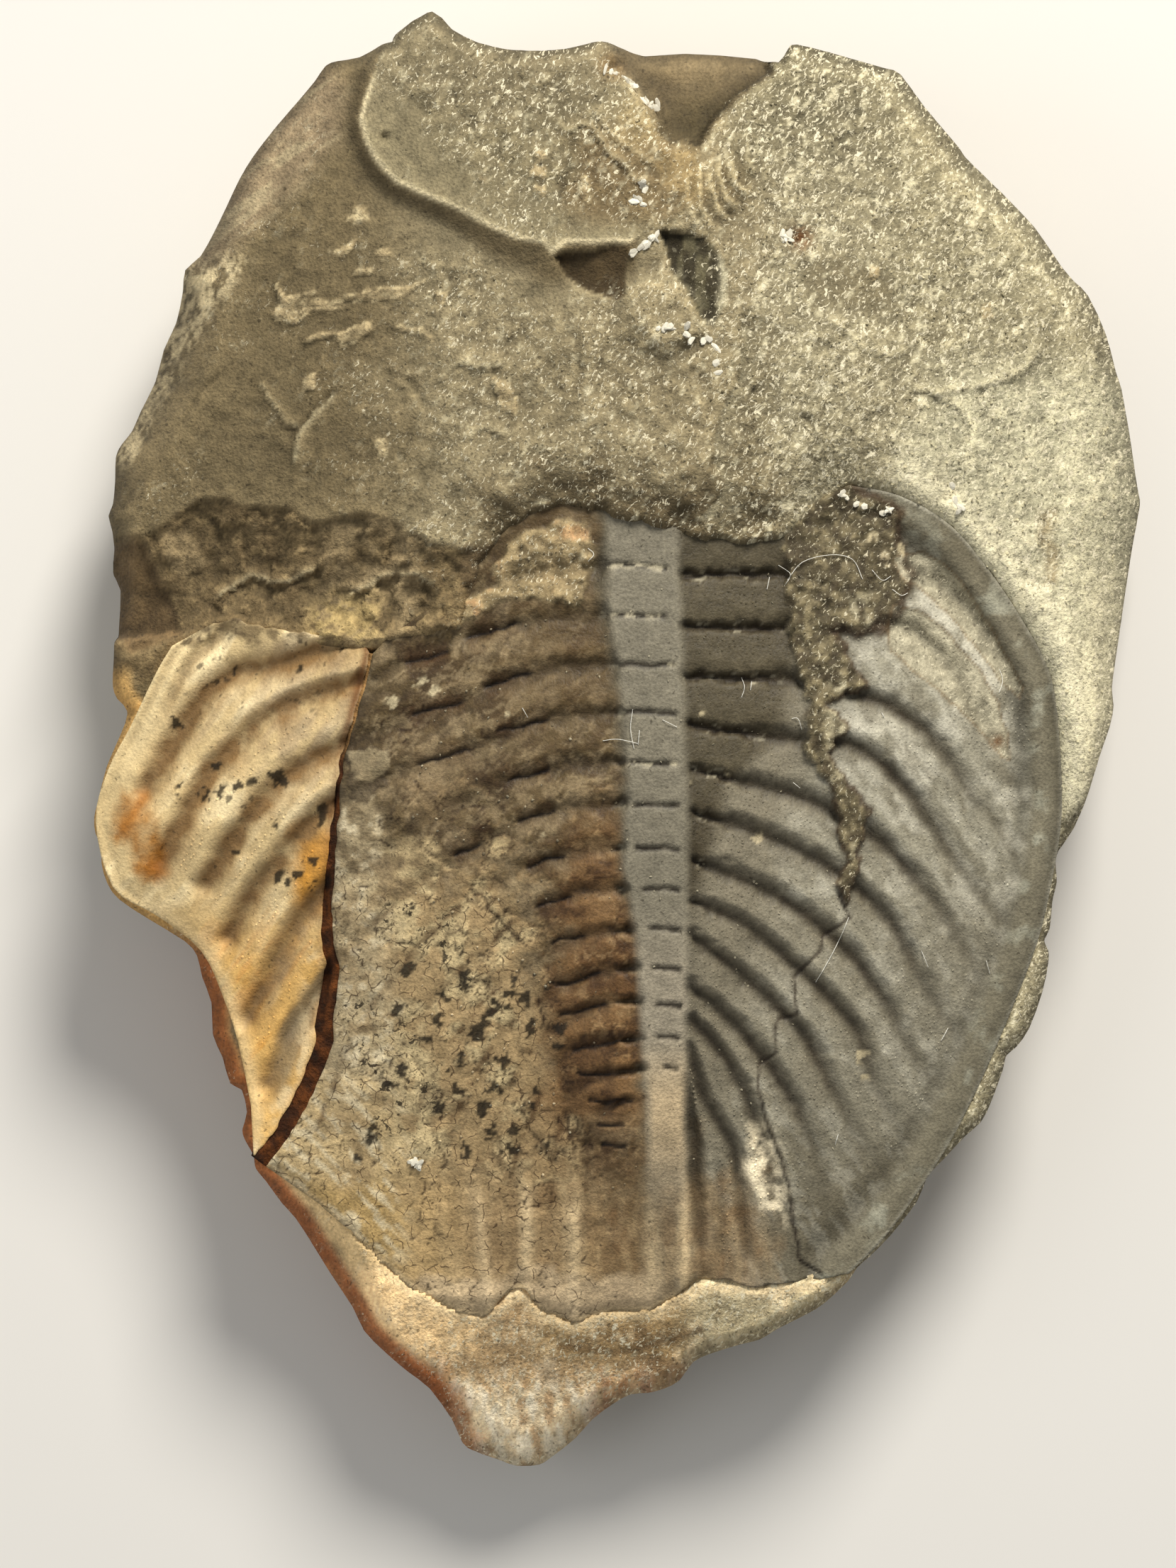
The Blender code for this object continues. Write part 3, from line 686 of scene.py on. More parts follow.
rightFurrows = [
    [(4.0, 11.5), (11.0, 11.6), (18.6, 12.1), (21.8, 10.7), (24.7, 8.3), (26.6, 5.4), (28.0, 2.1)],
    [(4.0, 8.0), (11.5, 8.0), (18.6, 8.3), (21.8, 5.9), (24.2, 2.5), (27.1, -2.7)],
    [(4.1, 4.7), (12.0, 4.5), (15.8, 3.7), (20.5, 1.2), (23.9, -3.4), (26.8, -6.9)],
    [(4.6, 1.4), (12.2, 0.4), (16.1, -0.1), (19.9, -3.7), (23.5, -8.9), (26.5, -12.4)],
    [(4.8, -1.6), (11.5, -3.2), (16.6, -5.7), (20.4, -9.4), (23.0, -13.3), (24.7, -16.2)],
    [(4.8, -4.4), (9.9, -6.0), (15.2, -8.9), (18.6, -12.4), (20.9, -16.8), (23.6, -20.4)],
    [(4.9, -7.6), (10.7, -10.2), (14.7, -13.2), (18.1, -17.5), (19.6, -20.7), (21.5, -23.0)],
    [(4.9, -10.4), (8.6, -12.2), (13.2, -16.2), (16.1, -19.3), (17.2, -23.0), (19.5, -26.8)],
    [(4.7, -12.6), (8.0, -15.3), (12.0, -19.0), (14.3, -23.1), (16.6, -27.9)],
    [(4.8, -16.2), (7.9, -19.0), (11.2, -23.3), (12.9, -26.8), (13.8, -29.7)],
    [(4.8, -18.4), (7.5, -21.7), (9.3, -25.8), (11.4, -33.0)],
    [(4.5, -20.4), (5.7, -23.8), (7.9, -28.0), (8.5, -34.7)], [(4.4, -22.4), (4.9, -26.2), (5.8, -35.8)],
]
leftFurrows = [
    [(-1.0, 12.1), (-6.0, 11.6), (-9.5, 10.4)],
    [
        (-1.0, 8.8), (-6.8, 8.3), (-10.6, 7.2), (-16.6, 4.7), (-21.9, 3.0), (-25.3, 0.8), (-28.4, -2.4),
        (-31.1, -7.6),
    ],
    [(-0.3, 5.5), (-5.9, 4.9), (-10.4, 3.1), (-17.6, 0.6), (-21.6, -1.5), (-24.5, -3.9), (-28.2, -9.3)],
    [(0.0, 2.3), (-4.8, 1.9), (-9.8, -0.1), (-18.0, -3.0), (-21.9, -6.2), (-25.3, -10.5), (-26.6, -13.0)],
    [(0.2, -1.1), (-4.6, -1.4), (-11.3, -4.2), (-18.5, -8.7), (-21.9, -12.0), (-25.4, -18.5)],
    [(0.4, -3.9), (-4.3, -4.2), (-9.2, -6.5), (-15.2, -10.4), (-21.7, -18.4), (-23.9, -23.0)],
    [(0.3, -6.8), (-3.6, -7.3), (-9.1, -9.5), (-14.0, -13.8), (-18.3, -20.0), (-20.5, -26.0)],
    [(0.4, -9.6), (-3.2, -10.0), (-7.6, -12.2), (-12.2, -16.6), (-15.8, -22.4), (-17.6, -28.0)],
    [(0.7, -12.3), (-2.3, -12.8), (-6.6, -14.8), (-11.0, -19.4), (-14.2, -25.6), (-15.2, -30.0)],
    [(1.2, -14.9), (-1.1, -15.2), (-5.8, -17.2), (-9.8, -22.0), (-12.0, -28.0), (-12.6, -33.0)],
    [(1.4, -17.1), (-0.7, -17.3), (-4.9, -19.2), (-8.0, -24.0), (-9.8, -30.0), (-10.2, -35.0)],
    [(1.5, -19.6), (-3.4, -20.6), (-6.0, -25.0), (-7.8, -31.0), (-8.0, -36.0)],
    [(1.6, -21.7), (-2.6, -22.8), (-4.4, -27.0), (-5.2, -36.5)],
    [(0.6, -23.9), (-1.6, -25.0), (-2.4, -29.0), (-2.7, -37.0)],
]
flankFurrow = [
    (-17.5, 7.4), (-23.0, 5.6), (-26.2, 4.9), (-28.2, 3.4), (-29.9, 1.0), (-31.1, -0.9), (-32.2, -2.7),
]
ringSlits = [  # y, from x, to x
    (12.1, -1.0, 3.0), (8.8, -0.5, 2.9), (5.5, 0.0, 3.6), (2.3, 0.0, 3.6), (-1.1, 0.7, 3.6),
    (-3.9, 0.9, 3.8), (-6.8, 1.1, 3.8), (-9.6, 1.6, 3.8), (-12.3, 2.0, 3.8), (-14.9, 2.2, 3.9),
    (-17.4, 2.5, 4.0), (-19.6, 2.6, 3.8), (-21.7, 3.1, 3.8),
]
crestStrip = [
    (-1.0, 16.5), (3.9, 15.0), (4.0, 10.0), (4.3, 3.0), (4.5, -3.2), (4.6, -9.3), (4.5, -17.8),
    (4.4, -22.4), (4.3, -25.4), (5.0, -37.5), (2.0, -38.5), (1.9, -23.9), (1.5, -20.1), (1.4, -16.8),
    (1.1, -13.2), (0.2, -8.0), (0.4, -2.3), (0.0, 2.4), (-0.2, 5.6), (-1.0, 9.4),
]
clingingRock = [
    (10.9, 14.5), (11.3, 10.2), (11.5, 7.7), (12.0, 4.5), (12.5, 3.0), (12.4, -0.1), (13.0, -1.6),
    (13.9, -2.8), (15.0, -4.6), (14.5, -5.9), (15.3, -7.7), (14.4, -9.3), (15.2, -10.8), (15.8, -9.0),
    (16.2, -6.5), (16.8, -4.4), (16.1, -3.2), (14.7, -1.8), (13.9, -0.1), (15.2, 1.4), (13.8, 3.0),
    (16.6, 4.3), (15.7, 5.6), (14.4, 7.1), (14.5, 7.9), (14.2, 14.5),
]
shellOutline = frontEdge + rightMargin[1:] + rearEdge + flankMargin[:-1]
marginLine = rightMargin + rearEdge + flankMargin
rimBeyond = [  # the shell goes on under the rock
    (flankMargin[-1][0], 60), (rightMargin[0][0], 60),
]


def vault(x, y):
    # height of the arched shell without its relief
    narrow, wide = fossil["axisHalf"]
    crest = fossil["crestHeight"] - fossil["crestFall"] * np.clip(fossil["crestPeakY"] - y, 0, None) ** 2
    half = np.clip(narrow + fossil["axisWidening"] * (y + 27.0), narrow, wide)
    across = np.abs(x - 0.2 + 0.03 * y)
    lobe = np.clip(1 - (across / half / 1.3) ** 2, 0, 1) ** 1.5 * ease((y + 33) / 8)
    beyond = np.clip(across - half, 0, None)
    rim = np.where(isInside(x, y, rimBeyond + marginLine), gapTo(x, y, marginLine)[0], 0)
    share = beyond / (beyond + rim + 1e-6)
    rise = fossil["marginRise"] * np.clip((y + 5.0) / 23.0, 0, 1) ** 1.5
    foot = crest - fossil["axisRelief"]
    fall = np.clip(foot - fossil["marginHeight"] - rise, 0, None)
    return foot + fossil["axisRelief"] * lobe - fall * share**2


leftSlits = [
    [(-10.6, 7.2), (-8.6, 7.8), (-6.8, 8.3)], [(-9.4, 3.9), (-7.6, 4.5), (-5.9, 4.9)],
    [(-8.6, 1.0), (-4.8, 1.9)], [(-7.7, -2.3), (-4.6, -1.4)], [(-7.1, -5.1), (-4.3, -4.2)],
    [(-6.4, -8.0), (-3.6, -7.3)], [(-5.7, -10.8), (-3.2, -10.0)], [(-4.9, -13.2), (-2.3, -12.8)],
    [(-5.0, -15.9), (-3.2, -15.8), (-1.1, -15.2)], [(-4.3, -18.2), (-0.7, -17.3)],
    [(-3.4, -20.4), (0.0, -19.9)], [(-3.0, -22.2), (-0.4, -22.0)], [(-2.3, -24.0), (0.6, -23.9)],
    [(-1.7, -25.5), (0.3, -25.5)], [(-1.3, -26.9), (0.5, -26.9)], [(-14.7, 5.6), (-11.4, 6.3)],
    [(-14.4, 2.1), (-10.4, 3.1)], [(-14.0, -1.2), (-9.8, -0.1)], [(-11.4, -7.4), (-9.2, -6.5)],
]
missingShell = [
    [
        (18.4, 12.7), (20.4, 13.2), (22.6, 11.7), (24.4, 9.2), (26.0, 6.5), (27.3, 4.1), (27.1, 3.4),
        (26.0, 4.1), (24.4, 6.3), (22.6, 8.5), (20.7, 10.3), (18.9, 11.6),
    ],
    [
        (18.4, 9.6), (20.4, 9.0), (22.4, 7.4), (24.2, 5.3), (25.4, 3.2), (26.2, 1.0), (26.4, -0.8),
        (25.8, -0.6), (24.9, 0.5), (23.1, 2.3), (21.3, 4.0), (19.5, 5.3), (18.2, 6.5), (18.0, 8.1),
    ],
]
rightCrack = [
    (15.1, -9.0), (14.7, -10.1), (15.4, -11.5), (13.7, -12.7), (13.5, -13.9), (11.7, -15.6), (11.7, -17.0),
    (11.9, -18.1), (10.6, -18.4), (10.4, -19.3), (10.6, -20.8), (9.3, -21.5), (9.3, -23.1), (9.8, -24.8),
    (10.5, -26.9), (11.5, -30.0), (11.7, -32.4), (12.3, -34.8), (13.7, -36.0),
]
tanPatch = [
    (-8.3, 12.1), (-7.5, 13.8), (-4.1, 15.4), (-2.2, 14.8), (-1.7, 12.1), (-2.9, 9.3), (-5.6, 10.0),
    (-7.7, 9.7), (-11.3, 8.3), (-12.3, 8.8), (-10.4, 10.2), (-8.4, 10.7),
]
brokenPlate = [(-18.4, -0.3), (-17.1, 0.2), (-15.7, -0.1), (-15.5, -1.5), (-16.6, -2.5), (-18.0, -2.3)]
lowerPlate = [(-18.5, -1.9), (-16.2, -2.0), (-15.7, -2.6), (-17.3, -4.1), (-18.3, -3.6)]
upperCrust = [
    (11.0, 17.5), (15.0, 18.0), (18.6, 16.2), (18.8, 13.6), (19.9, 11.4), (18.8, 9.4), (17.2, 7.6),
    (14.2, 7.9), (11.6, 12.0),
]
slantCracks = [
    [(-13.6, -6.6), (-11.0, -8.6), (-9.0, -10.9)], [(-12.0, -5.2), (-9.2, -8.0), (-6.4, -10.6)],
    [(-11.2, -12.0), (-9.2, -14.2)], [(-9.4, -9.8), (-7.4, -12.6), (-5.8, -13.6)],
    [(-6.9, -14.4), (-5.5, -17.3), (-5.0, -19.0)], [(-15.6, -9.0), (-13.4, -9.9), (-12.4, -11.4)],
    [(-16.4, -6.4), (-15.2, -7.0)], [(-7.5, -18.5), (-6.6, -21.0), (-5.4, -22.6)],
    [(-10.2, -22.6), (-9.0, -25.2)], [(-8.2, -10.9), (-5.5, -12.0)],
    [(-6.6, -25.5), (-5.2, -27.2), (-4.4, -29.6)], [(-3.9, -24.4), (-3.0, -27.5)],
    [(-12.8, -25.9), (-11.6, -28.6)], [(-15.2, -1.5), (-13.0, -3.1), (-12.2, -4.6)],
]
rearLine = rearEdge[2:]
tailTroughs = [
    [(5.3, -24.7), (5.0, -29.0), (5.5, -34.8)], [(8.1, -27.2), (8.2, -31.0), (8.8, -35.4)],
    [(6.6, -28), (6.9, -35)],
]
creamPatch = [(8.6, -25.6), (9.6, -25.4), (11.0, -29.1), (11.2, -32.2), (9.4, -31.1), (8.2, -28.7)]
yellowLine = [(-32.4, -3.4), (-33.8, -5.6)]
stripEdge = [  # -y, x
    (-9.4, -1.0), (-5.6, -0.2), (2.3, 0.4), (8.0, 0.2), (13.2, 1.1), (20.1, 1.5), (23.9, 1.9),
]
paleSpots = [  # x, y, radius
    (-13.4, 4.4, 0.5), (-12.6, 3.9, 0.35), (-15.3, 2.9, 0.4), (-5.2, -5.9, 0.15), (-7.6, 1.9, 0.3),
    (9.3, -6.1, 0.4), (15.6, -8.0, 0.3), (16.1, 16.4, 0.4), (17.9, 12.9, 0.6), (19.0, 13.4, 0.45),
    (17.0, 14.2, 0.4), (-2.4, 12.9, 0.4), (16.3, -21.0, 0.5), (16.5, -22.3, 0.4), (7.2, -2.1, 0.2),
    (4.6, -2.6, 0.15), (-14.0, -27.6, 0.35), (5.6, 2.3, 0.25),
]
blackSpots = [  # x, y, radius: the largest of the black-brown spots left of the axis
    (-14.0, -10.8, 0.3), (-14.3, -15.1, 0.5), (-14.9, -16.5, 0.3), (-14.9, -17.9, 0.5), (-13.2, -19.7, 0.5),
    (-12.4, -18.6, 0.4), (-12.0, -16.8, 0.3), (-10.6, -16.0, 0.4), (-10.3, -15.0, 0.3), (-10.7, -13.5, 0.3),
    (-8.9, -13.9, 0.4), (-7.8, -16.5, 0.35), (-8.5, -17.7, 0.45), (-7.6, -17.7, 0.3), (-9.7, -19.5, 0.45),
    (-9.1, -18.6, 0.3), (-7.0, -15.6, 0.3), (-6.4, -16.9, 0.35), (-6.1, -18.9, 0.45), (-5.6, -15.8, 0.35),
    (-4.2, -19.0, 0.4), (-4.5, -20.2, 0.35), (-10.8, -21.2, 0.45), (-11.2, -21.6, 0.35), (-7.8, -21.3, 0.4),
    (-14.8, -22.3, 0.6), (-15.7, -22.5, 0.4), (-12.2, -23.9, 0.25), (-12.5, -24.5, 0.4),
    (-11.0, -23.3, 0.4), (-8.6, -23.1, 0.5), (-9.3, -24.4, 0.6), (-5.8, -23.1, 0.3), (-6.3, -24.3, 0.3),
    (-7.1, -26.0, 0.45), (-7.3, -27.2, 0.5), (-8.9, -26.0, 0.35), (-4.7, -26.5, 0.3), (-10.5, -27.5, 0.5),
    (-16.8, -25.7, 0.4), (-17.0, -26.8, 0.3), (-17.8, -27.9, 0.3), (-18.8, -30.7, 0.25),
]


def ribDepths(x, y):
    # how far a place lies in a furrow, 0 to 1, with its core alone as a second number
    depth = np.zeros(np.shape(x))
    core = depth.copy()
    teeth = 0.13 * noise(x, y, 0 * x, 0.42, 5) + 0.1 * noise(x, y, 0 * x, 0.9, 6)
    onAxis = ease((axisRight(y) + 0.5 - x) / 1.6) * ease((x + 1.0) / 1.0)
    onFlank = ease((-x - 18.5) / 1.5)
    calmer = 1 - 0.55 * ease((x - axisRight(y)) / 3) - 0.9 * onFlank
    wider = 1 + 0.15 * onFlank
    for line in rightFurrows + leftFurrows + [flankFurrow]:
        gap, side, along = gapTo(x, y, curved(line, steps=3), 3.2)
        behind = side if line[-1][0] > line[0][0] else -side  # positive towards the tail
        taper = 1 - 0.8 * ease((along - 0.5) / 0.5) * ease((x + 20) / 2)
        rough = np.abs(gap + teeth * calmer)
        steep, gentle = fossil["furrowWall"] * wider**2, np.where(behind > 0, 1.15, 0.8) * wider
        soft = 0.35 * bell(rough, steep) + 0.65 * bell(rough, gentle)
        soft = soft + onAxis * (0.8 * bell(rough, 0.3) + 0.2 * bell(rough, 0.8) - soft)
        slope = np.clip(1 - gap / fossil["ribReach"], 0, 1) ** 1.5 * (behind > 0)
        depth = np.maximum(depth, np.maximum(soft, (0.75 - 0.35 * onAxis) * slope) * taper)
        core = np.maximum(core, bell(rough, 0.26) * taper)
    return depth, core


def axisRight(y):
    # the furrow that bounds the axis on its right
    return 8.6 + fossil["axisWidening"] * np.clip(y, -40, 8)


def veinAt(y):
    return np.interp(-y, [-p[1] for p in veinLine], [p[0] for p in veinLine])


def flankGap(x, y, reach):
    return gapTo(x, y, curved(flankMargin, steps=3), reach)[0]


def shellFace(x, y):
    # height of the shell's upper face, and its masks
    wx = x + 0.14 * layered(x, y, 0, 1.6, 3, 3)
    wy = y + 0.14 * layered(x, y, 0, 1.5, 3, 4)
    depth, core = ribDepths(wx, wy)
    rim = gapTo(x, y, curved(rightMargin, steps=3), 9.0)[0]
    fade = ease((rim - 0.8) / 3.4)
    flank = ease((veinAt(y) - x) / 0.3 + 0.5)
    axisLeft = -2.2 + fossil["axisWidening"] * np.clip(-y - 27, -40, 0)
    inner = ease((axisLeft + 2.6 - x) / 2.5) * (1 - flank)
    left = ease((0.3 - x) / 1.0) * (1 - flank)
    faint = (1 - inner * (0.5 + 0.2 * ease((-8 - y) / 4))) * (1 - 0.35 * left) * (1 + 0.25 * flank)
    thread = core * inner * fade
    depth, core = depth * faint * fade, core * faint**2 * fade * (1 - 0.8 * flank)
    groove = bell(rim - fossil["borderWidth"], 0.9)
    rx, ry = shaken(x, y, 0.55, 1.0, 4, 8)
    clinging = np.maximum(within(rx, ry, clingingRock, 0.45), within(rx, ry, upperCrust, 1.2))
    patch = within(rx, ry, tanPatch, 0.5)
    bx, by = 0.7 * x + 0.3 * rx, 0.7 * y + 0.3 * ry
    bare = np.maximum(within(bx, by, missingShell[0], 0.25), within(bx, by, missingShell[1], 0.25))
    plate = np.maximum(within(rx, ry, brokenPlate, 0.3), within(rx, ry, lowerPlate, 0.3) * 0.7)
    strip = within(wx, wy, crestStrip, 0.9) * ease((y + 33) / 8)
    slits = np.zeros(np.shape(x))
    for sy, x0, x1 in ringSlits:
        gap = gapTo(rx * 0.3 + wx * 0.7, ry * 0.3 + wy * 0.7, [(x0, sy + 0.05), (x1, sy - 0.05)], 1.5)[0]
        slits = np.maximum(slits, bell(gap, 0.17))
    cuts = strokes(wx * 0.6 + rx * 0.4, wy * 0.6 + ry * 0.4, leftSlits, 0.13)
    crackGap, crackSide = gapTo(rx * 0.4 + x * 0.6, ry * 0.4 + y * 0.6, rightCrack, 2.0)[:2]
    crack = bell(crackGap, 0.12)
    lip = np.clip(1 - crackGap / 1.3, 0, 1) ** 1.5 * ease(0.5 - crackSide * crackGap / 0.2)
    mess = layered(x, y, 0, 0.6, 4, 12)
    kept = (1 - 0.9 * strip) * (1 - clinging)
    (crust, crustRough), (mound, moundRough), (hole, holeRough) = (
        fossil[key] for key in ("crustHeight", "patchHeight", "bareDepth")
    )
    z = vault(x, y) + fossil["stripHeight"] * strip - fossil["ribRelief"] * depth * kept
    z = z - fossil["borderGroove"] * groove * (1 - clinging)
    z = z - fossil["slitDepth"] * slits * strip - fossil["cutDepth"] * cuts
    z = z + clinging * (crust + crustRough * mess) + patch * (mound + moundRough * mess)
    z = z - bare * (hole - holeRough * mess)
    z = z - fossil["rearDip"] * bell(gapTo(x, y, rearLine, 3)[0], 0.6)
    # the rim rolls up along both outer edges
    outside = flankGap(x, y, 3)
    folds = 0.25 * bell(outside - 0.4, 0.4) - 0.3 * bell(outside - 1.2, 0.4)
    folds = folds + 0.15 * bell(outside - 2.2, 0.6)
    z = z + flank * ease((y - 0.5) / 3) * folds
    roll = 0.22 * bell(rim - 1.2, 0.9) - 0.2 * bell(rim - 2.9, 0.8)
    z = z + (1 - flank) * ease((y + 12) / 10) * roll * (1 - clinging)
    z = z + fossil["plateHeight"] * plate - fossil["crackDepth"] * crack
    z = z + fossil["lipHeight"] * lip * ease((-24 - y) / 4 + 0.3)
    calm = (1 - clinging) * (1 - patch)
    z = z + calm * (0.07 * layered(x, y, 0, 2.5, 3, 14) + 0.03 * layered(x, y, 0, 0.5, 2, 15))
    z = z + left * calm * 0.10 * layered(x * 0.8 + 0.6 * y, y * 1.5 - 0.5 * x, 0, 1.6, 4, 16)
    worn = inner * ease((-3 - y) / 6)
    far = inner * (1 - ease((-3 - y) / 6)) + worn
    # plates between thin cracks: long ones across the ribs, shorter ones along them
    across, along = rx * 0.35 + (wx * 0.8 + wy * 0.6) * 0.65, (wy * 0.8 - wx * 0.6) * 1.4
    plates, edges, *_, dice = chips(across, along, 1.5, 21)
    split = ease((0.07 - (edges - plates)) / 0.07) * ease(4 * layered(x, y, 0, 2.2, 2, 23) + 0.5)
    z = z + far * (fossil["splitDepth"] * (dice[0] - 0.5) - fossil["splitDepth"] * split)
    hairs = strokes(rx * 0.5 + x * 0.5, ry * 0.5 + y * 0.5, slantCracks, 0.09)
    ends = bell(wx + 6.4, 0.5) + bell(wx + 3.2, 0.6) + bell(wx - 2.1, 0.6) * 0.6 + bell(wx - 4.4, 0.4)
    ends = ends + bell(x + 9.8 + 0.1 * (y + 30), 0.5) + 0.6 * bell(x + 12.6 + 0.2 * (y + 30), 0.5)
    ends = ends * ease((-25.5 - y) / 7) * (1 - strip * 0.6)
    trough = strokes(wx, wy, tailTroughs, 0.5)
    z = z + fossil["endHeight"] * ends - fossil["troughDepth"] * trough - fossil["hairDepth"] * hairs
    border = ease((fossil["borderWidth"] - rim) / 0.8)
    masks = {
        "depth": depth * kept, "core": core * kept, "strip": strip, "slits": slits * strip, "cuts": cuts,
        "clinging": clinging, "patch": patch, "bare": bare, "plate": plate, "crack": crack, "rim": rim,
        "border": border, "groove": groove, "inner": inner, "flank": flank, "worn": worn, "dice": dice[1],
        "split": np.maximum(split * far, hairs), "ends": ends, "trough": trough, "thread": thread,
    }
    return z, masks


def shellLook(x, y, z, m):
    # colour zones and marks of the grey shell; m holds the masks that shellFace gives
    n = len(x)
    wide, cloud = layered(x, y, z, 5.0, 4, 32), layered(x, y, z, 1.6, 4, 31)
    small = layered(x, y, z, 0.6, 4, 33)
    crest = 1 - m["depth"]
    tone = plain((120, 112, 93), n)
    outer = ease((x - axisRight(y) - 2.0) / 6.0) * (1 - 0.4 * ease((-6 - y) / 6))
    paint(tone, (150, 144, 124), outer * crest)
    paler = outer * crest * ease(0.15 + 1.6 * wide + 2.2 * cloud + 0.05 * (y + 4))
    paint(tone, (184, 178, 158), paler * 0.85)
    paint(tone, (104, 96, 76), ease((-24 - y + 4 * wide) / 7) * ease((x - 8) / 4) * 0.8)
    besideStrip = np.interp(-y, *zip(*stripEdge))
    left = ease((besideStrip + 0.5 - x + 0.7 * cloud) / 1.6)
    paint(tone, (92, 76, 49), left)
    paint(tone, (74, 58, 38), left * ease(cloud * 3 - 0.1 - wide) * 0.6)
    paint(tone, (150, 130, 97), left * ease(-cloud * 3 - 0.2) * 0.75)
    bend = 1.6 * cloud + 0.5 * small
    brush = layered((0.95 * x + 0.3 * y + cloud) * 0.6, (0.95 * y - 0.3 * x + cloud) * 1.5, 0, 1.1, 4, 34)
    paint(tone, (146, 127, 94), left * ease((brush - 0.1) / 0.3) * 0.45)
    paint(tone, (62, 49, 33), left * ease((-brush - 0.1) / 0.3) * 0.45)
    hairy = layered((0.95 * x + 0.3 * y + bend) * 1.1, (0.95 * y - 0.3 * x + bend) * 2.8, 0, 1.1, 4, 30)
    paint(tone, (168, 148, 112), left * ease((hairy - 0.2) / 0.2) * 0.35)
    paint(tone, (54, 42, 28), left * ease((-hairy - 0.2) / 0.2) * 0.4)
    paint(tone, (84, 66, 40), left * ease((x + 9 + cloud) / 4) * ease((y + 1) / 5) * 0.55)
    paint(tone, (150, 128, 94), left * blotch(x, y, (-12.8, -2.5), 4, 4.5) * 0.5)
    lower = left * ease((-6.5 + 4.0 * cloud + 3 * wide - y) / 5.0)
    lower = lower * ease((-2.0 - 0.2 * (y + 27) - x + 1.8 * cloud) / 2.5)
    paint(tone, (172, 146, 104), lower)
    paint(tone, (212, 190, 142), lower * ease(wide * 2.5 + cloud * 2.5 + 0.1) * 0.85)
    lilac = left * ease((-1.5 - y + 2 * wide) / 4)
    lilac = lilac * ease((-13.8 - x - 0.1 * (y + 20) + 1.5 * cloud) / 2.5) * ease((y + 26) / 4)
    paint(tone, (184, 165, 128), lilac * (0.65 + 0.7 * cloud))
    paint(tone, (216, 200, 164), lilac * ease(small * 4 + cloud - 0.5) * 0.7)
    paint(tone, (104, 86, 58), lilac * ease(-small * 3 - 2 * cloud - 0.5) * 0.6)
    axis = ease((axisRight(y) + 2.6 * ease((y + 3) / 4) - x + 0.5 * cloud) / 1.8) * (1 - left)
    paint(tone, (76, 68, 50), axis * 0.95)
    paint(tone, (58, 50, 34), axis * ease((-1 - y) / 5) * ease((y + 22) / 5) * 0.75)
    nearAxis = left * ease((x + 7.8 - 0.12 * (y + 27) + 1.5 * cloud) / 3.5)
    nearAxis = nearAxis * (1 - 0.7 * ease((-23.5 - y + cloud) / 3))
    paint(tone, (122, 90, 54), nearAxis * ease((-1 - y) / 8) * 0.85)
    paint(tone, (66, 42, 20), nearAxis * ease((-4 - y) / 6) * ease(cloud * 2.4 + 0.1) * 0.65)
    hatch = layered((0.6 * x + 0.8 * y + bend) * 2.2, (0.8 * x - 0.6 * y + bend) * 0.5, 0, 1.3, 3, 39)
    hatched = left * ease((1 - y) / 5) * ease((x + 16 + 2 * cloud) / 6) * (1 - m["strip"])
    paint(tone, (52, 34, 18), hatched * bell(hatch, 0.14) * ease(0.5 + 2 * cloud + wide) * 0.8)
    paint(tone, (180, 150, 106), hatched * ease((-hatch - 0.25) / 0.2) * 0.3)
    # pale and dark brush strokes that run out along the ribs
    ribwise, across = 0.55 * x - 0.83 * y + 0.6 * cloud, 0.83 * x + 0.55 * y + 0.6 * cloud
    fan = layered(ribwise * 0.5, across * 1.7, 0, 1.1, 4, 35)
    paint(tone, (188, 182, 162), outer * ease(fan * 3 - 0.2) * (1 - 0.8 * m["depth"]) * 0.5)
    paint(tone, (98, 90, 71), outer * ease(-fan * 3 - 0.3) * 0.45)
    paint(tone, (120, 113, 93), m["border"] * (1 - left))
    # painted shade in the groove inside the border
    paint(tone, (84, 79, 64), m["groove"] * (1 - left) * ease((y + 6) / 8) * 0.7)
    paint(tone, (164, 162, 142), m["border"] * (1 - left) * ease(2.5 * cloud - 0.1) * 0.6)
    paint(tone, (96, 88, 68), ease(1 - m["rim"] / 3.5) * ease((y - 8) / 6) * 0.6)
    # darker in the furrows: painted shade over their browner colour
    furrow = m["depth"] ** 1.4 * (1 - 0.6 * lower)
    paint(tone, (86, 76, 57), furrow * (0.55 + 0.4 * small) * (0.7 + 0.3 * axis))
    paint(tone, (58, 46, 32), m["core"] * (1 - 0.7 * lower) * (0.45 + 0.4 * cloud + 0.15 * axis))
    crumbs = bell(m["core"] - 0.5, 0.25) * axis * ease(small * 4 - 0.3)
    paint(tone, (190, 180, 152), crumbs * 0.75)
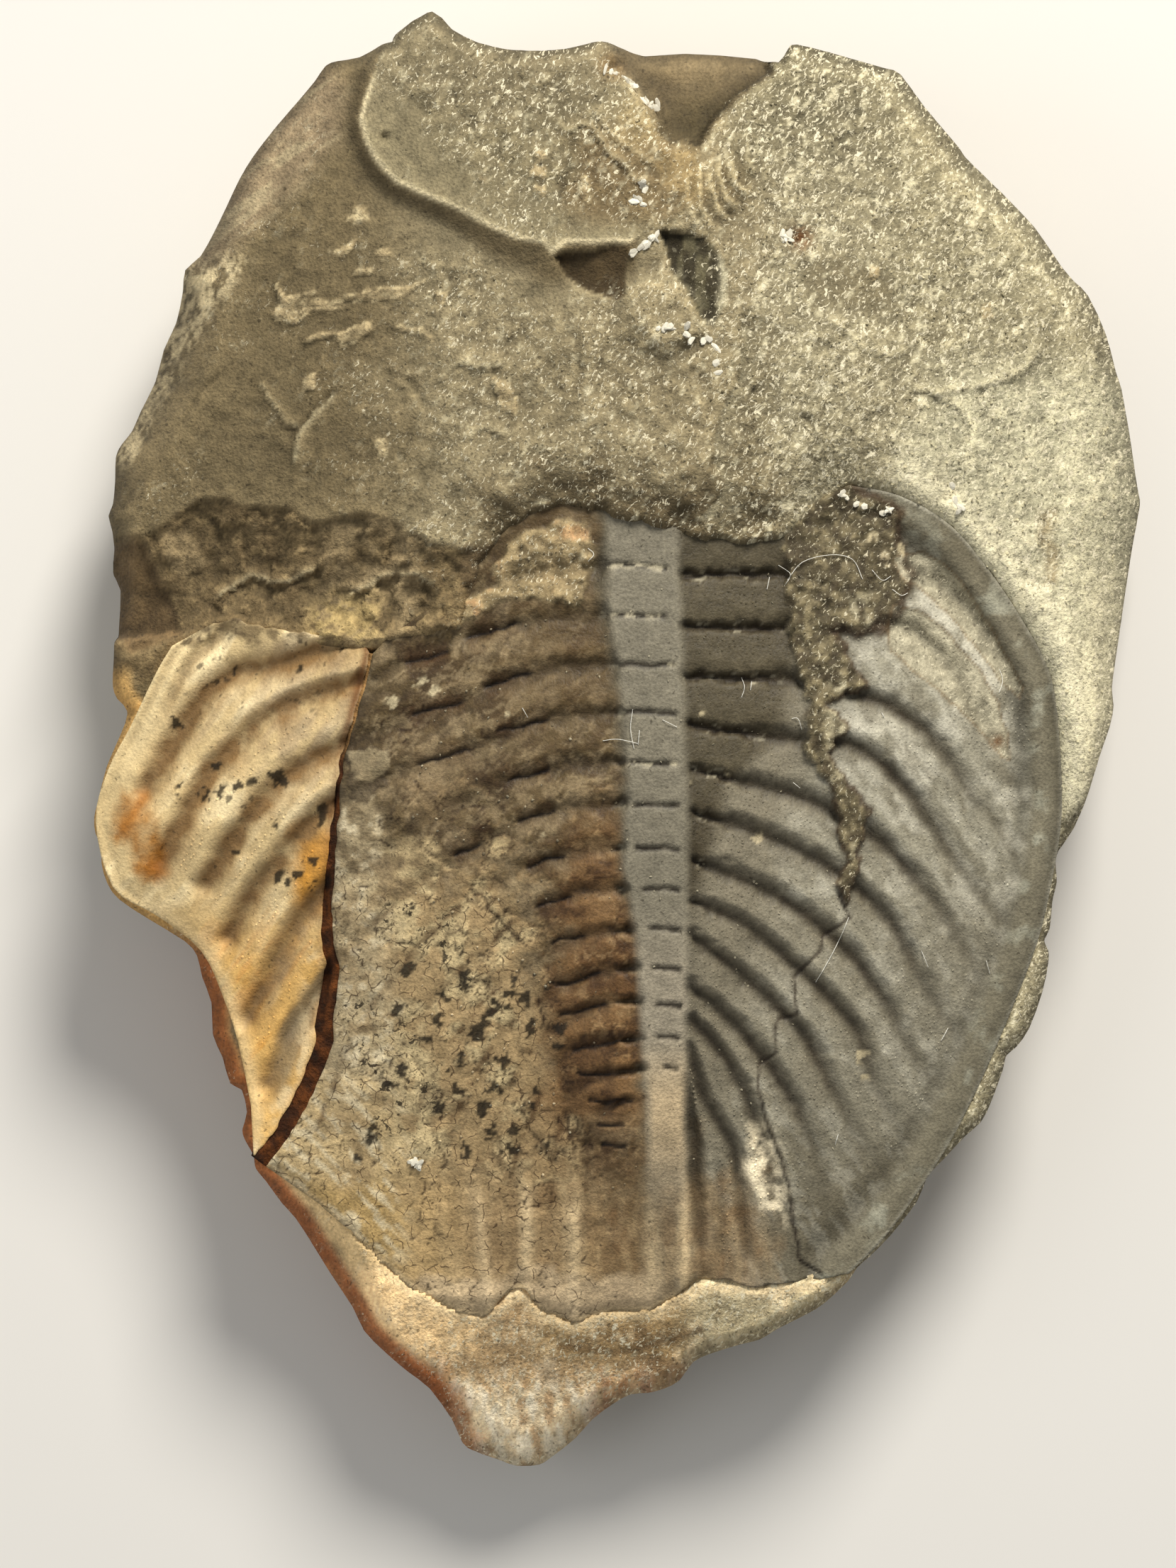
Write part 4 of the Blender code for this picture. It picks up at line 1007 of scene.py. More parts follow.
    # the tail end, softer and browner
    tail = ease((-27.0 - y + 2.5 * cloud) / 5) * ease((11.5 - x + cloud) / 3)
    paint(tone, (176, 148, 106), tail * (0.9 - 0.5 * ease((x + 3) / 3)))
    paint(tone, (112, 84, 54), tail * ease(cloud * 3) * ease((x + 8) / 6) * 0.6)
    upright = layered((x + 0.06 * y + 0.3 * cloud) * 1.9, y * 0.4, 0, 1.0, 4, 37)
    paint(tone, (208, 184, 142), m["ends"] * 0.8 * tail)
    paint(tone, (204, 178, 134), tail * ease(upright * 3) * 0.3)
    paint(tone, (112, 86, 56), tail * ease(-upright * 3 - 0.2) * 0.3)
    paint(tone, (142, 112, 74), ease(0.6 - 3 * m["ends"]) * tail * ease((x + 9) / 3) * 0.4)
    paint(tone, (188, 158, 108), tail * ease((-9 - x) / 4) * 0.8)
    paint(tone, (92, 74, 50), m["trough"] * 0.5 * ease(1 + 2 * cloud))
    paint(tone, (208, 184, 146), ease((-35.4 + 1.6 * cloud - y) / 1.2) * ease((5 - x) / 4) * 0.7)
    lowLeft = ease((-13.5 - x + cloud) / 3) * ease((-21.5 - y + 1.5 * cloud) / 3)
    paint(tone, (200, 174, 126), lowLeft * (0.75 + cloud))
    paint(tone, (176, 146, 92), lowLeft * ease((-28.5 - y + cloud) / 2.5) * 0.9)
    slanting = layered((x + y) * 1.8, (y - x) * 0.5, 0, 1.0, 3, 38)
    paint(tone, (226, 210, 172), lowLeft * ease(slanting * 3) * 0.7)
    cream = within(x + 0.7 * cloud, y + 0.7 * small, creamPatch, 1.6)
    paint(tone, (255, 238, 200), cream * ease(0.7 + 1.4 * small))
    late = ease((-19.0 - y) / 5.5)
    # painted light: the strip, on the flank of the axis that faces the light, paler, over its own blue-grey
    paint(tone, (126, 119, 101), m["strip"] * (0.9 - 0.5 * left))
    paint(tone, (146, 136, 116), m["strip"] * ease((-9 - y) / 8))
    paint(tone, (188, 166, 130), m["strip"] * late)
    paint(tone, (40, 32, 22), m["slits"] * (0.9 - 0.3 * ease(small * 4)))
    paint(tone, (206, 194, 162), m["slits"] * ease(small * 4 + cloud * 2 + 0.15 * (y - 6)) * 0.9)
    # the worn field left of the axis
    paint(tone, (86, 62, 36), m["thread"] * ease((-7 - y) / 5) * ease(cloud * 3 + small * 2 + 0.5) * 0.75)
    paint(tone, (48, 32, 17), m["split"] * ease(cloud * 3 + 0.6) * 0.9)
    tone *= (1 + 0.2 * (m["dice"] - 0.5) * m["worn"])[:, None]
    shade = strokes(x, y, leftSlits, 0.8)
    paint(tone, (70, 48, 27), shade * (0.55 + 0.5 * cloud))
    paint(tone, (32, 23, 15), m["cuts"] * 0.9)
    jag = 0.5 * layered(x, y, z, 0.45, 3, 36)
    paint(tone, (36, 29, 17), spotsAt(x, y, blackSpots, jag * 1.8, 0.95, 0.85) * 0.92)
    paint(tone, (152, 137, 106), m["plate"] * (0.6 + 0.6 * cloud))
    paint(tone, (64, 50, 33), borderOf(m["plate"]) * 0.8)
    paint(tone, (58, 46, 34), m["crack"] * 0.8)
    # painted highlight along the shell's outer edge
    paint(tone, (176, 170, 150), bell(m["rim"], 0.16) * 0.8)
    paint(tone, (214, 188, 142), bell(gapTo(x, y, rearLine, 2)[0], 0.3) * 0.7)
    rocky = np.maximum(m["clinging"], np.maximum(m["patch"], m["bare"]))
    paint(tone, (84, 75, 54), rocky)
    paint(tone, (126, 114, 85), rocky * ease(small * 3.0 - 0.1) * 0.85)
    pale = rocky * ease(cloud * 3 - 0.1) * ease((x - 13) / 2) * ease((12 - y) / 4)
    paint(tone, (190, 180, 148), pale * ease(0.4 + small * 2) * 0.6)
    paint(tone, (66, 56, 40), rocky * (1 - m["bare"]) * ease(-small * 3.5 - 0.1) * 0.6)
    paint(tone, (184, 175, 147), m["bare"] * (0.85 + 0.5 * small))
    paint(tone, (158, 138, 100), m["patch"] * (0.75 + 0.5 * cloud))
    paint(tone, (186, 140, 96), m["patch"] * ease(cloud * 3 - 0.8) * 0.6)
    paint(tone, (62, 44, 27), borderOf(m["clinging"]) * ease((x - 13.2) / 1.0) * 0.8)
    paint(tone, (110, 84, 54), borderOf(m["bare"]) * 0.5)
    paint(tone, (120, 84, 50), spot(x, y, (25.6, 0.4), 0.45) * 0.9)
    for sx, sy, radius in paleSpots:
        inSpot = ease((radius * 0.8 - np.hypot(x - sx, y - sy) + jag * 1.6) / 0.25)
        paint(tone, (198, 182, 144), inSpot * 0.75)
    tone *= (1 + 0.16 * small + 0.10 * cloud)[:, None]
    spotty = lower * ease((-4 - y) / 4) * ease((y + 30) / 5) * ease(0.3 + wide * 2 + cloud)
    grains = 0.08 + 0.35 * rocky * (1 - lower) + 0.75 * spotty
    return tone, marksOf(n, 0.35 * rocky + 0.02 * left, grains, lower * 0.9 + 0.15 * left, 1 - 0.9 * rocky)


def paintedShadeAndHighlight(quads, z, strength):
    # painted shade: darkens what lies low among its surroundings, and a painted highlight pales what stands
    # out
    near, far = standsOut(quads, z, 8), standsOut(quads, z, 90)
    lift = np.clip(near / 0.10, -1, 1) * 0.16 + np.clip(far / 0.35, -1, 1) * 0.22
    return np.clip(1 + strength * lift, 0.3, 1.6)[:, None]


def shellSolid(name, outline, face, look, seat, shade=0.9):
    # a closed skin: its upper face on a fine grid, a wall round it and a hidden lower face
    x, y, quads, loops = gridOver(outline, fossil["grid"][name] * coarser)
    z, masks = face(x, y)
    tone, marks = look(x, y, z, masks)
    # painted shade in the hollows and painted highlight on what stands out
    tone *= paintedShadeAndHighlight(quads, z, shade)
    rim = loops[0]
    points = [np.stack([x, y, z], 1)]
    faces = quads.tolist()
    count = len(x)
    upper = rim
    for drop in (0.35, 0.8, fossil["shellThickness"]):
        lower = np.arange(count, count + len(rim))
        points.append(np.stack([x[rim], y[rim], z[rim] - drop], 1))
        faces += wallFaces(upper, lower)
        upper = lower
        count += len(rim)
    points.append(np.array([seat]))
    faces += fanFaces(upper, count)
    points = np.vstack(points)
    again = np.concatenate([rim, rim, rim, rim[:1]])
    colours = {"tone": np.vstack([tone, tone[again]]), "marks": np.vstack([marks, marks[again]])}
    lie = points[:, :2].copy()
    lie[len(x):, 1] += (points[len(x):, 2] - z[again])
    return solidMesh(name, points, faces, colours, lie)


apart = [w + 0.02 for w in veinHalfWidths]
east, west = (
    roughened(curved(movedSideways(veinLine, [k * w for w in apart])), 0.16, 0.9, 91) for k in (1, -1)
)
frontUnder = [(px, py + 1.4) for px, py in frontEdge]
shieldOutline = frontUnder[4:-1] + curved(rightMargin) + roughened(curved(rearEdge[:-1]), 0.3, 1.3, 93)
shieldOutline += east[::-1] + [(-15.6, 7.4)]
shield = shellSolid("tailShield", shieldOutline, shellFace, shellLook, (0.0, -8.0, 12.0))
finished(shield, greyShell, "grey_shell", "tail_shield")
report("tail shield")


flankSpots = [
    (-23.3, -2.0, 0.45), (-22.9, -2.5, 0.35), (-26.0, -2.5, 0.3), (-25.0, -2.4, 0.25), (-28.2, -3.2, 0.4),
    (-27.3, -3.0, 0.3), (-27.4, -1.2, 0.35), (-30.0, -3.5, 0.3), (-29.8, -2.6, 0.25), (-30.2, 1.6, 0.3),
    (-27.0, 4.6, 0.3), (-26.2, 5.0, 0.25), (-19.0, 6.9, 0.35), (-18.6, 7.2, 0.3), (-21.6, 5.2, 0.25),
    (-20.0, -4.2, 0.35), (-20.2, -4.9, 0.3), (-23.1, -5.1, 0.35), (-26.2, -7.1, 0.3), (-23.0, -8.7, 0.35),
    (-22.6, -9.0, 0.3), (-20.6, -7.6, 0.35), (-21.9, -8.7, 0.25), (-21.0, -9.4, 0.3),
]
orangeStain = [
    (-34.0, -3.0), (-32.6, -3.2), (-31.5, -5.0), (-30.9, -7.0), (-31.0, -9.0), (-32.4, -9.3), (-33.2, -7.6),
    (-33.5, -6.6), (-34.6, -6.4), (-34.4, -4.6),
]
lowerStain = [(-32.2, -7.6), (-31.2, -7.6), (-30.9, -8.6), (-31.6, -9.2), (-32.3, -8.6)]


def flankLook(x, y, z, m):
    n = len(x)
    wide, cloud, small = (layered(x, y, z, size, 4, 41) for size in (3.5, 1.4, 0.5))
    along, across = 0.6 * x + 0.8 * y, 0.8 * x - 0.6 * y
    streak = layered(across * 1.6, along * 0.3, 0, 1.2, 3, 44)
    tone = plain((220, 193, 140), n)
    low = ease((-9 - y + 2 * wide) / 6.0)
    paint(tone, (226, 176, 94), low * 0.85)
    pale = ease(0.4 + 1.5 * wide + streak) * (0.9 - 0.4 * low)
    paint(tone, (250, 228, 178), pale * (1 - 0.8 * m["depth"]))
    paint(tone, (222, 196, 146), ease((-27.5 - x) / 4) * ease((y + 1) / 5) * 0.7)
    mauve = ease((x + 27.5) / 5) * ease((y + 6) / 5)
    paint(tone, (152, 132, 104), mauve * ease(0.6 + cloud + streak) * 0.65)
    yellow = ease((x + 22.8 + cloud) / 1.5) * ease((-4.5 - y) / 2) * ease((y + 12) / 2)
    paint(tone, (206, 140, 36), yellow * 0.9)
    paint(tone, (208, 140, 44), low * ease(2.5 * streak + 1.0 * cloud) * 0.55)
    # darker in the furrows: painted shade over their tan-brown colour
    paint(tone, (146, 114, 72), m["depth"] * (0.9 - 0.2 * low) * (0.85 + cloud))
    paint(tone, (128, 98, 60), m["core"] * 0.5)
    edge = flankGap(x, y, 4)
    # painted shade in the trough inside the rolled rim
    paint(tone, (150, 120, 78), bell(edge - 1.2, 0.4) * ease((y - 1) / 3) * 0.7)
    paint(tone, (158, 128, 86), ease(streak * 3 - 0.2) * ease((-25 - x) / 3) * ease((y + 2) / 4) * 0.5)
    greyish = ease((x + 24.5) / 2) * ease((-12 - y) / 4)
    paint(tone, (150, 138, 112), greyish * ease(m["depth"] * 2 - 0.4) * 0.6)
    orange = within(x + 0.5 * cloud, y + 0.5 * small, orangeStain, 1.1)
    paint(tone, (160, 100, 22), orange * (0.7 + 0.6 * cloud))
    paint(tone, (138, 82, 18), within(x + 0.5 * cloud, y, lowerStain, 1.2) * 0.8)
    paint(tone, (176, 110, 34), bell(gapTo(x, y, yellowLine, 3)[0], 0.5) * 0.7)
    # painted highlight along the raised rim, over its cream colour
    paint(tone, (242, 216, 162), bell(edge - 0.5, 0.6) * ease((y + 4) / 4) * 0.8)
    paint(tone, (238, 210, 156), bell(edge - 0.3, 0.6) * ease((-9 - y) / 2) * 0.6)
    jag = 0.45 * layered(x, y, z, 0.45, 3, 46)
    black = spotsAt(x, y, flankSpots, jag * 1.7)
    dots = ease((layered(x, y, z, 0.5, 4, 47) - 0.36) / 0.08) * ease(wide * 3 + 0.3) * ease((y + 8) / 4)
    paint(tone, (40, 32, 18), np.maximum(black, dots * 0.8) * 0.92)
    top = ease((y - 7.2 + 1.8 * cloud) / 1.0)
    paint(tone, (132, 112, 78), top * 0.85)
    paint(tone, (70, 56, 38), top * ease(small * 4) * 0.7)
    byVein = veinAt(y) - x
    paleBand = bell(byVein - 1.2, 0.7) * ease((-11 - y) / 3)
    paint(tone, (232, 208, 160), paleBand * ease(0.5 + cloud * 2) * 0.7)
    paint(tone, (112, 74, 40), bell(byVein - 0.3, 0.35) * (0.5 + 0.4 * ease((y + 1) / 4)))
    tone *= (1 + 0.14 * small + 0.08 * cloud + 0.08 * streak)[:, None]
    return tone, marksOf(n, 0.03, 0.12, 0.3 * ease(wide * 2), 0.7)


flankOutline = roughened(frontEdge[:3] + [(-17.6, 7.5)], 0.35, 0.9, 95)
outer = curved(flankMargin[1:-1])
flankOutline += west + movedSideways(outer, [0.5 * float(ease((py + 12) / 3)) for px, py in outer])
flankOutline = [(max(px, -35.95), py) for px, py in flankOutline]
flank = shellSolid("leftFlank", flankOutline, shellFace, flankLook, (-25.0, -8.0, 11.5), 0.45)
finished(flank, creamShell, "cream_shell", "left_flank")
report("left flank")


def veinFace(x, y):
    z, masks = shellFace(x, y)
    return z - 0.1 + 0.12 * layered(x, y, 0, 0.8, 4, 51), masks


def veinLook(x, y, z, m):
    cloud = layered(x, y, z, 1.0, 4, 52)
    tone = plain((60, 31, 9), len(x))
    paint(tone, (100, 55, 20), ease(2.4 * cloud) * 0.8)
    paint(tone, (36, 22, 10), ease(-3.0 * cloud - 0.2) * 0.7)
    paint(tone, (158, 120, 72), ease((y + 1.5) / 3.0) * 0.8)
    return tone, marksOf(len(x), 0.0, 0.4, 0.0, 0.3)


wider = [w + 0.25 for w in veinHalfWidths]
veinOutline = curved(movedSideways(veinLine, wider))
veinOutline += curved(movedSideways(veinLine, [-w for w in wider])[::-1])
vein = shellSolid("ironVein", veinOutline, veinFace, veinLook, (-20.5, -10.0, 12.0))
finished(vein, ironVein, "iron_vein", "vein")
report("vein")


# The rock
rock = {
    "crest": 24.4,
    "lobeRise": 1.1,
    "fallRight": 0.0105,
    "fallLeft": 0.0085,
    "fallFront": 0.006,
    "tailHeight": 13.6,
    "tailSlope": 0.33,
    "cell": 0.213,
    "top": 25.5,
    "halfWidth": 35.99,
    "halfLength": 49.69,
    "restingOval": (68.0, 88.0),
    "tailFrom": -36.3,  # behind the shell, where the tail end begins
    "domeHeight": 0.8,
    "recessStep": 0.3,
    "recessDepth": 1.3,
    "hollowDepth": 3.6,
    "creaseDepth": 0.25,
    "flakeHeight": 0.2,
    "pitDepth": 0.35,
    "pinHoleDepth": 0.6,
    "waves": (0.30, 0.22),  # wide and narrow
}
rockOutline = [
    (-12.8, 49.7), (-11.4, 48.4), (-9.5, 47.4), (-7.4, 46.9), (-5.2, 46.8), (-3.7, 46.9), (-2.4, 47.2),
    (-1.4, 47.4), (0.3, 47.2), (1.6, 46.8), (4.4, 47.0), (9.2, 46.7), (10.6, 46.1), (11.3, 47.1),
    (11.9, 47.4), (14.5, 46.8), (17.8, 46.0), (19.0, 45.6), (20.6, 43.5), (23.0, 40.8), (23.5, 40.1),
    (25.8, 37.9), (28.3, 35.3), (30.1, 32.8), (31.0, 31.8), (32.0, 30.9), (33.3, 28.3), (34.1, 25.7),
    (34.5, 24.6), (35.1, 21.8), (35.9, 17.5), (36.0, 16.8), (35.6, 14.6), (35.0, 11.2), (34.5, 8.2),
    (34.1, 5.9), (33.8, 4.1), (33.9, 2.9), (33.6, 1.5), (32.8, -0.6), (32.0, -3.1), (31.1, -5.5),
    (30.0, -7.1), (29.8, -8.0), (29.9, -9.2), (29.6, -10.4), (29.4, -12.4), (29.0, -13.2), (29.3, -13.9),
    (29.3, -14.7), (28.9, -16.7), (28.0, -19.2), (27.1, -20.5), (26.4, -21.1), (26.2, -22.0), (25.4, -24.2),
    (24.7, -25.6), (23.6, -26.6), (22.2, -28.1), (21.0, -29.4), (20.3, -31.1), (18.4, -33.5), (17.1, -34.8),
    (16.2, -35.6), (15.6, -36.5), (13.9, -38.1), (12.8, -38.8), (10.7, -39.9), (9.6, -40.6), (8.4, -40.9),
    (6.2, -41.6), (5.0, -42.2), (4.1, -43.5), (3.0, -44.1), (1.9, -44.4), (0.7, -44.5), (-0.5, -45.2),
    (-1.9, -46.3), (-3.1, -47.7), (-4.8, -49.1), (-5.6, -49.6), (-7.1, -49.7), (-8.5, -49.2),
    (-10.5, -48.4), (-11.1, -47.5), (-11.6, -46.3), (-13.1, -44.1), (-14.6, -42.9), (-16.2, -41.5),
    (-17.6, -40.1), (-18.4, -38.5), (-20.0, -36.2), (-21.1, -34.4), (-22.3, -32.4), (-23.2, -31.3),
    (-24.3, -29.7), (-25.0, -28.8), (-25.1, -28.0), (-25.7, -26.9), (-25.9, -26.2), (-25.6, -25.0),
    (-26.0, -23.5), (-26.8, -23.1), (-27.4, -21.3), (-28.1, -19.8), (-28.2, -17.6), (-28.8, -15.8),
    (-29.1, -14.3), (-29.9, -13.3), (-32.4, -11.7), (-34.3, -10.4), (-35.1, -9.3), (-35.5, -7.9),
    (-35.5, -6.8), (-35.9, -5.9), (-36.0, -4.8), (-35.7, -3.6), (-35.1, -1.3), (-34.2, 0.7), (-33.6, 2.4),
    (-34.3, 3.3), (-34.6, 4.2), (-34.5, 6.0), (-34.4, 8.3), (-34.3, 10.8), (-34.8, 11.9), (-34.7, 13.7),
    (-34.8, 14.8), (-35.1, 15.9), (-34.8, 16.7), (-34.7, 18.3), (-34.7, 20.0), (-34.3, 20.9), (-33.6, 21.8),
    (-33.0, 23.2), (-32.0, 25.2), (-31.4, 27.4), (-30.5, 29.2), (-30.0, 31.3), (-29.8, 32.7), (-28.7, 33.6),
    (-27.7, 35.2), (-26.8, 36.9), (-25.9, 38.7), (-25.0, 40.1), (-23.5, 42.0), (-21.9, 43.8), (-20.7, 45.2),
    (-20.0, 46.2), (-19.2, 46.5), (-17.7, 46.7), (-16.1, 47.5), (-15.4, 47.6), (-15.2, 48.1),
]
paleLobe = [
    (-14.5, 51.0), (-16.6, 45.5), (-17.3, 43.5), (-17.6, 42.3), (-17.2, 40.6), (-16.4, 39.2), (-15.0, 37.8),
    (-12.9, 36.8), (-10.6, 35.8), (-8.9, 34.8), (-7.1, 34.0), (-5.2, 33.6), (-4.6, 32.9), (-3.7, 33.6),
    (0.6, 33.6), (4.5, 36.0), (5.5, 39.9), (1.5, 43.0), (-1.0, 48.0), (-8.0, 51.0),
]
lobeFoot = [
    (-20.5, 44.0), (-20.0, 38.0), (-15.5, 35.0), (-9.5, 32.5), (-3.9, 29.2), (1.0, 29.5), (3.4, 34.0),
    (-2.0, 36.0), (-12.0, 40.0), (-16.0, 45.0),
]
recess = [
    (-38.0, 14.2), (-34.7, 14.2), (-31.6, 14.6), (-30.0, 15.9), (-28.7, 16.7), (-26.5, 16.7), (-25.0, 16.2),
    (-23.2, 16.2), (-21.9, 15.9), (-20.9, 15.1), (-18.9, 15.3), (-16.9, 15.7), (-15.4, 15.3), (-14.4, 14.2),
    (-9.8, 13.0), (-9.8, 7.0), (-17.0, 6.0), (-28.0, 7.5), (-33.0, 4.0), (-38.0, 4.0),
]
smallDome = [(0.2, 31.0), (3.0, 32.0), (5.4, 30.0), (5.6, 27.5), (2.8, 26.4), (0.2, 28.0)]
flakes = [
    [
        (-23.3, 31.5), (-22.5, 30.3), (-20.6, 30.7), (-19.5, 29.9), (-18.3, 30.5), (-16.6, 30.7),
        (-14.5, 30.9), (-13.1, 31.3), (-14.3, 30.5), (-14.9, 29.7), (-16.2, 29.9), (-17.9, 29.9),
        (-19.5, 29.2), (-20.8, 29.4), (-21.8, 28.5), (-23.3, 28.7), (-23.7, 29.4), (-22.9, 30.0),
    ],
    [
        (-21.4, 27.4), (-20.4, 28.0), (-18.7, 27.8), (-17.0, 28.6), (-16.8, 28.0), (-18.3, 26.6),
        (-19.5, 27.6), (-20.8, 27.3),
    ],
    [
        (-19.8, 33.4), (-19.0, 33.3), (-18.2, 33.8), (-17.6, 34.2), (-17.9, 33.5), (-18.8, 32.9),
        (-19.6, 32.9),
    ],
    [(-18.6, 35.6), (-17.8, 35.2), (-16.9, 35.4), (-17.3, 36.2), (-18.2, 36.3)],
    [(-16.6, 33.2), (-15.7, 33.5), (-15.2, 32.9), (-16.1, 32.6)],
    [(-17.5, 32.2), (-16.4, 31.9), (-17.2, 31.6), (-18.0, 31.7)],
    [(-8.8, 24.8), (-7.5, 24.4), (-6.9, 23.2), (-7.2, 22.1), (-8.0, 22.6), (-8.3, 23.6)],
    [(-16.6, 20.8), (-15.5, 20.4), (-15.7, 19.3), (-16.4, 19.5)],
    [(-15.4, 28.2), (-13.6, 28.2), (-12.4, 27.0), (-13.8, 27.6)],
    [(-21.4, 24.9), (-20.8, 25.2), (-20.4, 24.2), (-21.2, 23.9)],
    [(-12.6, 30.3), (-11.4, 30.6), (-11.9, 29.6)],
    [(-5.8, 39.9), (-5.2, 39.8), (-5.0, 38.4), (-5.0, 36.6), (-5.6, 36.8), (-6.0, 38.4)],
    [(-2.9, 38.3), (-2.3, 38.0), (-1.9, 36.6), (-2.2, 36.0), (-2.7, 37.0)],
    [(-9.4, 38.6), (-8.9, 38.4), (-9.0, 37.6), (-9.5, 37.9)],
    [(24.2, 29.6), (25.0, 30.0), (25.4, 29.0), (24.6, 28.5)],
    [(16.6, 32.3), (17.4, 32.2), (17.2, 31.3), (16.6, 31.5)],
]
hollowCliff = [(10.6, 50.0), (10.5, 45.0), (9.0, 44.1), (7.8, 43.2), (6.6, 41.8), (5.8, 40.6), (5.5, 39.9)]
hollowLeft = [
    (-0.6, 50.0), (-1.2, 46.5), (-1.0, 45.3), (0.2, 44.3), (1.4, 42.6), (2.1, 40.9), (3.1, 39.9),
    (5.5, 39.7),
]
edgeSlopes = [  # where the edge is worn: middle, reach, how much wider, how much lower
    ((35.0, 14.0), 13.0, 5.0, 6.0), ((-33.0, 27.0), 10.0, 4.0, 5.5), ((-28.0, -18.5), 6.0, 2.5, 5.0),
    ((-20.5, -35.5), 5.5, 3.0, 4.5), ((24.0, 41.0), 8.0, 1.5, 2.0), ((-8.0, -48.0), 7.0, 1.5, 0.8),
]
sideProfile = [  # height, reach at that height, how far it keeps the outline's own form
    (0.0, 0.62, 0.2), (0.9, 0.78, 0.35), (2.2, 0.90, 0.6), (3.8, 0.975, 0.9), (5.2, 1.0, 1.0),
    (13.0, 0.998, 1.0), (40.0, 0.985, 1.0),
]
scarps = [  # broken edges, high on their left: line, height, how far back they fall off
    (
        [
            (8.2, 29.4), (8.0, 28.8), (8.0, 24.8), (7.2, 23.4), (6.6, 21.8), (6.1, 19.2), (6.7, 17.9),
            (6.6, 16.7), (4.6, 14.4),
        ],
        -0.5, 4.5,
    ),
    ([(5.4, 34.6), (4.9, 35.8), (4.6, 37.2), (4.9, 38.6)], 0.5, 0.8),
    ([(6.4, 34.6), (5.7, 35.8), (5.4, 37.6), (5.7, 39.2)], 0.55, 0.8),
    ([(7.4, 35.2), (6.7, 36.1), (6.0, 38.0), (6.2, 39.5)], 0.6, 0.8),
    ([(8.1, 35.9), (7.4, 36.6), (6.7, 38.3), (6.9, 39.7)], 0.6, 0.8),
    ([(8.6, 36.9), (8.1, 37.6), (7.6, 38.8), (7.6, 39.9)], 0.6, 0.8),
    ([(9.2, 38.2), (8.8, 39.2), (8.6, 40.2), (8.9, 41.0)], 0.5, 0.8),
    ([(-19.2, 24.0), (-20.9, 22.2), (-21.9, 20.6), (-22.1, 18.6)], 0.45, 1.6),
    ([(-22.8, 21.7), (-21.6, 21.5), (-21.9, 19.8)], 0.35, 0.9),
    ([(-24.6, 24.8), (-23.4, 22.8), (-22.4, 21.6)], 0.3, 0.9),
    ([(18.5, 24.4), (21.3, 23.7), (25.2, 24.4), (27.6, 25.6), (29.0, 28.0)], 0.35, 2.6),
    ([(20.8, 23.7), (22.5, 22.9), (23.5, 21.3), (23.1, 19.3), (22.8, 18.4)], 0.35, 2.0),
    ([(13.2, 28.9), (15.1, 27.5), (17.5, 26.1), (19.9, 26.8)], 0.3, 2.4),
    (
        [(-4.6, 41.8), (-3.6, 40.9), (-2.2, 41.4), (-1.0, 39.8), (0.2, 38.8), (0.9, 37.8), (2.6, 37.2)],
        0.45, 1.4,
    ),
    ([(-3.4, 42.0), (-1.8, 42.2), (-0.4, 40.6), (1.4, 39.2), (2.8, 38.6)], 0.4, 1.1),
    ([(0.1, 29.6), (0.7, 30.6), (2.8, 31.0), (4.9, 30.0), (5.4, 28.4)], -0.35, 1.4),
    ([(-12.0, 24.6), (-10.6, 25.6), (-8.6, 25.2), (-7.4, 26.0)], 0.3, 1.4),
    ([(-10.4, 20.4), (-9.0, 21.2), (-7.2, 20.6)], 0.3, 1.2),
    ([(-27.8, 9.6), (-25.0, 11.4), (-22.8, 10.9), (-20.0, 12.4)], 0.5, 1.6),
    ([(-18.8, 9.8), (-15.0, 11.6), (-12.0, 10.6)], 0.5, 1.5),
]
creases = [
    [(-3.1, 40.8), (-3.6, 39.0), (-4.3, 36.1)], [(-19.2, 24.0), (-20.9, 22.2), (-21.9, 20.6)],
    [(-15.9, 25.4), (-13.9, 24.2), (-12.9, 22.4)], [(-3.2, 27.9), (-2.6, 25.4), (-3.4, 23.2)],
    [(11.9, 22.6), (13.0, 20.8), (12.6, 18.9)], [(-29.8, 21.7), (-28.6, 23.9), (-26.9, 25.4)],
]
triangle = [(-4.3, 32.9), (0.7, 33.4), (0.1, 29.6), (-1.8, 30.3), (-3.7, 31.4)]
trapezoid = [
    (2.6, 34.4), (5.6, 34.2), (6.6, 33.0), (7.2, 31.5), (7.0, 29.8), (6.2, 28.2), (5.4, 28.6), (4.4, 30.2),
    (3.4, 32.2),
]
topLeftSlope = [
    (-21.5, 47.0), (-18.4, 45.0), (-19.0, 41.0), (-21.5, 38.0), (-27.5, 33.0), (-31.0, 33.0), (-27.0, 40.0),
]
leftStrip = [
    (-31.5, 33.5), (-27.5, 34.6), (-25.4, 32.3), (-28.0, 29.4), (-31.0, 25.0), (-33.0, 20.0), (-36.0, 18.0),
]
smoothOval = [(12.2, 32.5), (15.6, 32.7), (18.4, 31.3), (18.2, 29.7), (15.1, 29.1), (12.7, 29.4)]
recessFacet = [(-31.6, 14.6), (-30.8, 12.6), (-29.5, 11.4), (-28.1, 12.6), (-29.5, 14.8)]
leftFacet = [(-34.8, 13.8), (-32.6, 13.9), (-30.9, 10.6), (-29.8, 7.6), (-33.2, 6.4), (-34.8, 8.0)]
darkPocket = [
    (-11.0, 12.1), (-10.1, 13.3), (-8.4, 13.4), (-7.2, 12.9), (-7.4, 11.4), (-8.4, 10.2), (-10.1, 9.9),
]
yellowPatch = [
    (-21.2, 7.1), (-20.9, 9.3), (-19.5, 10.5), (-17.1, 10.3), (-15.8, 9.3), (-16.1, 7.3), (-18.0, 6.6),
]
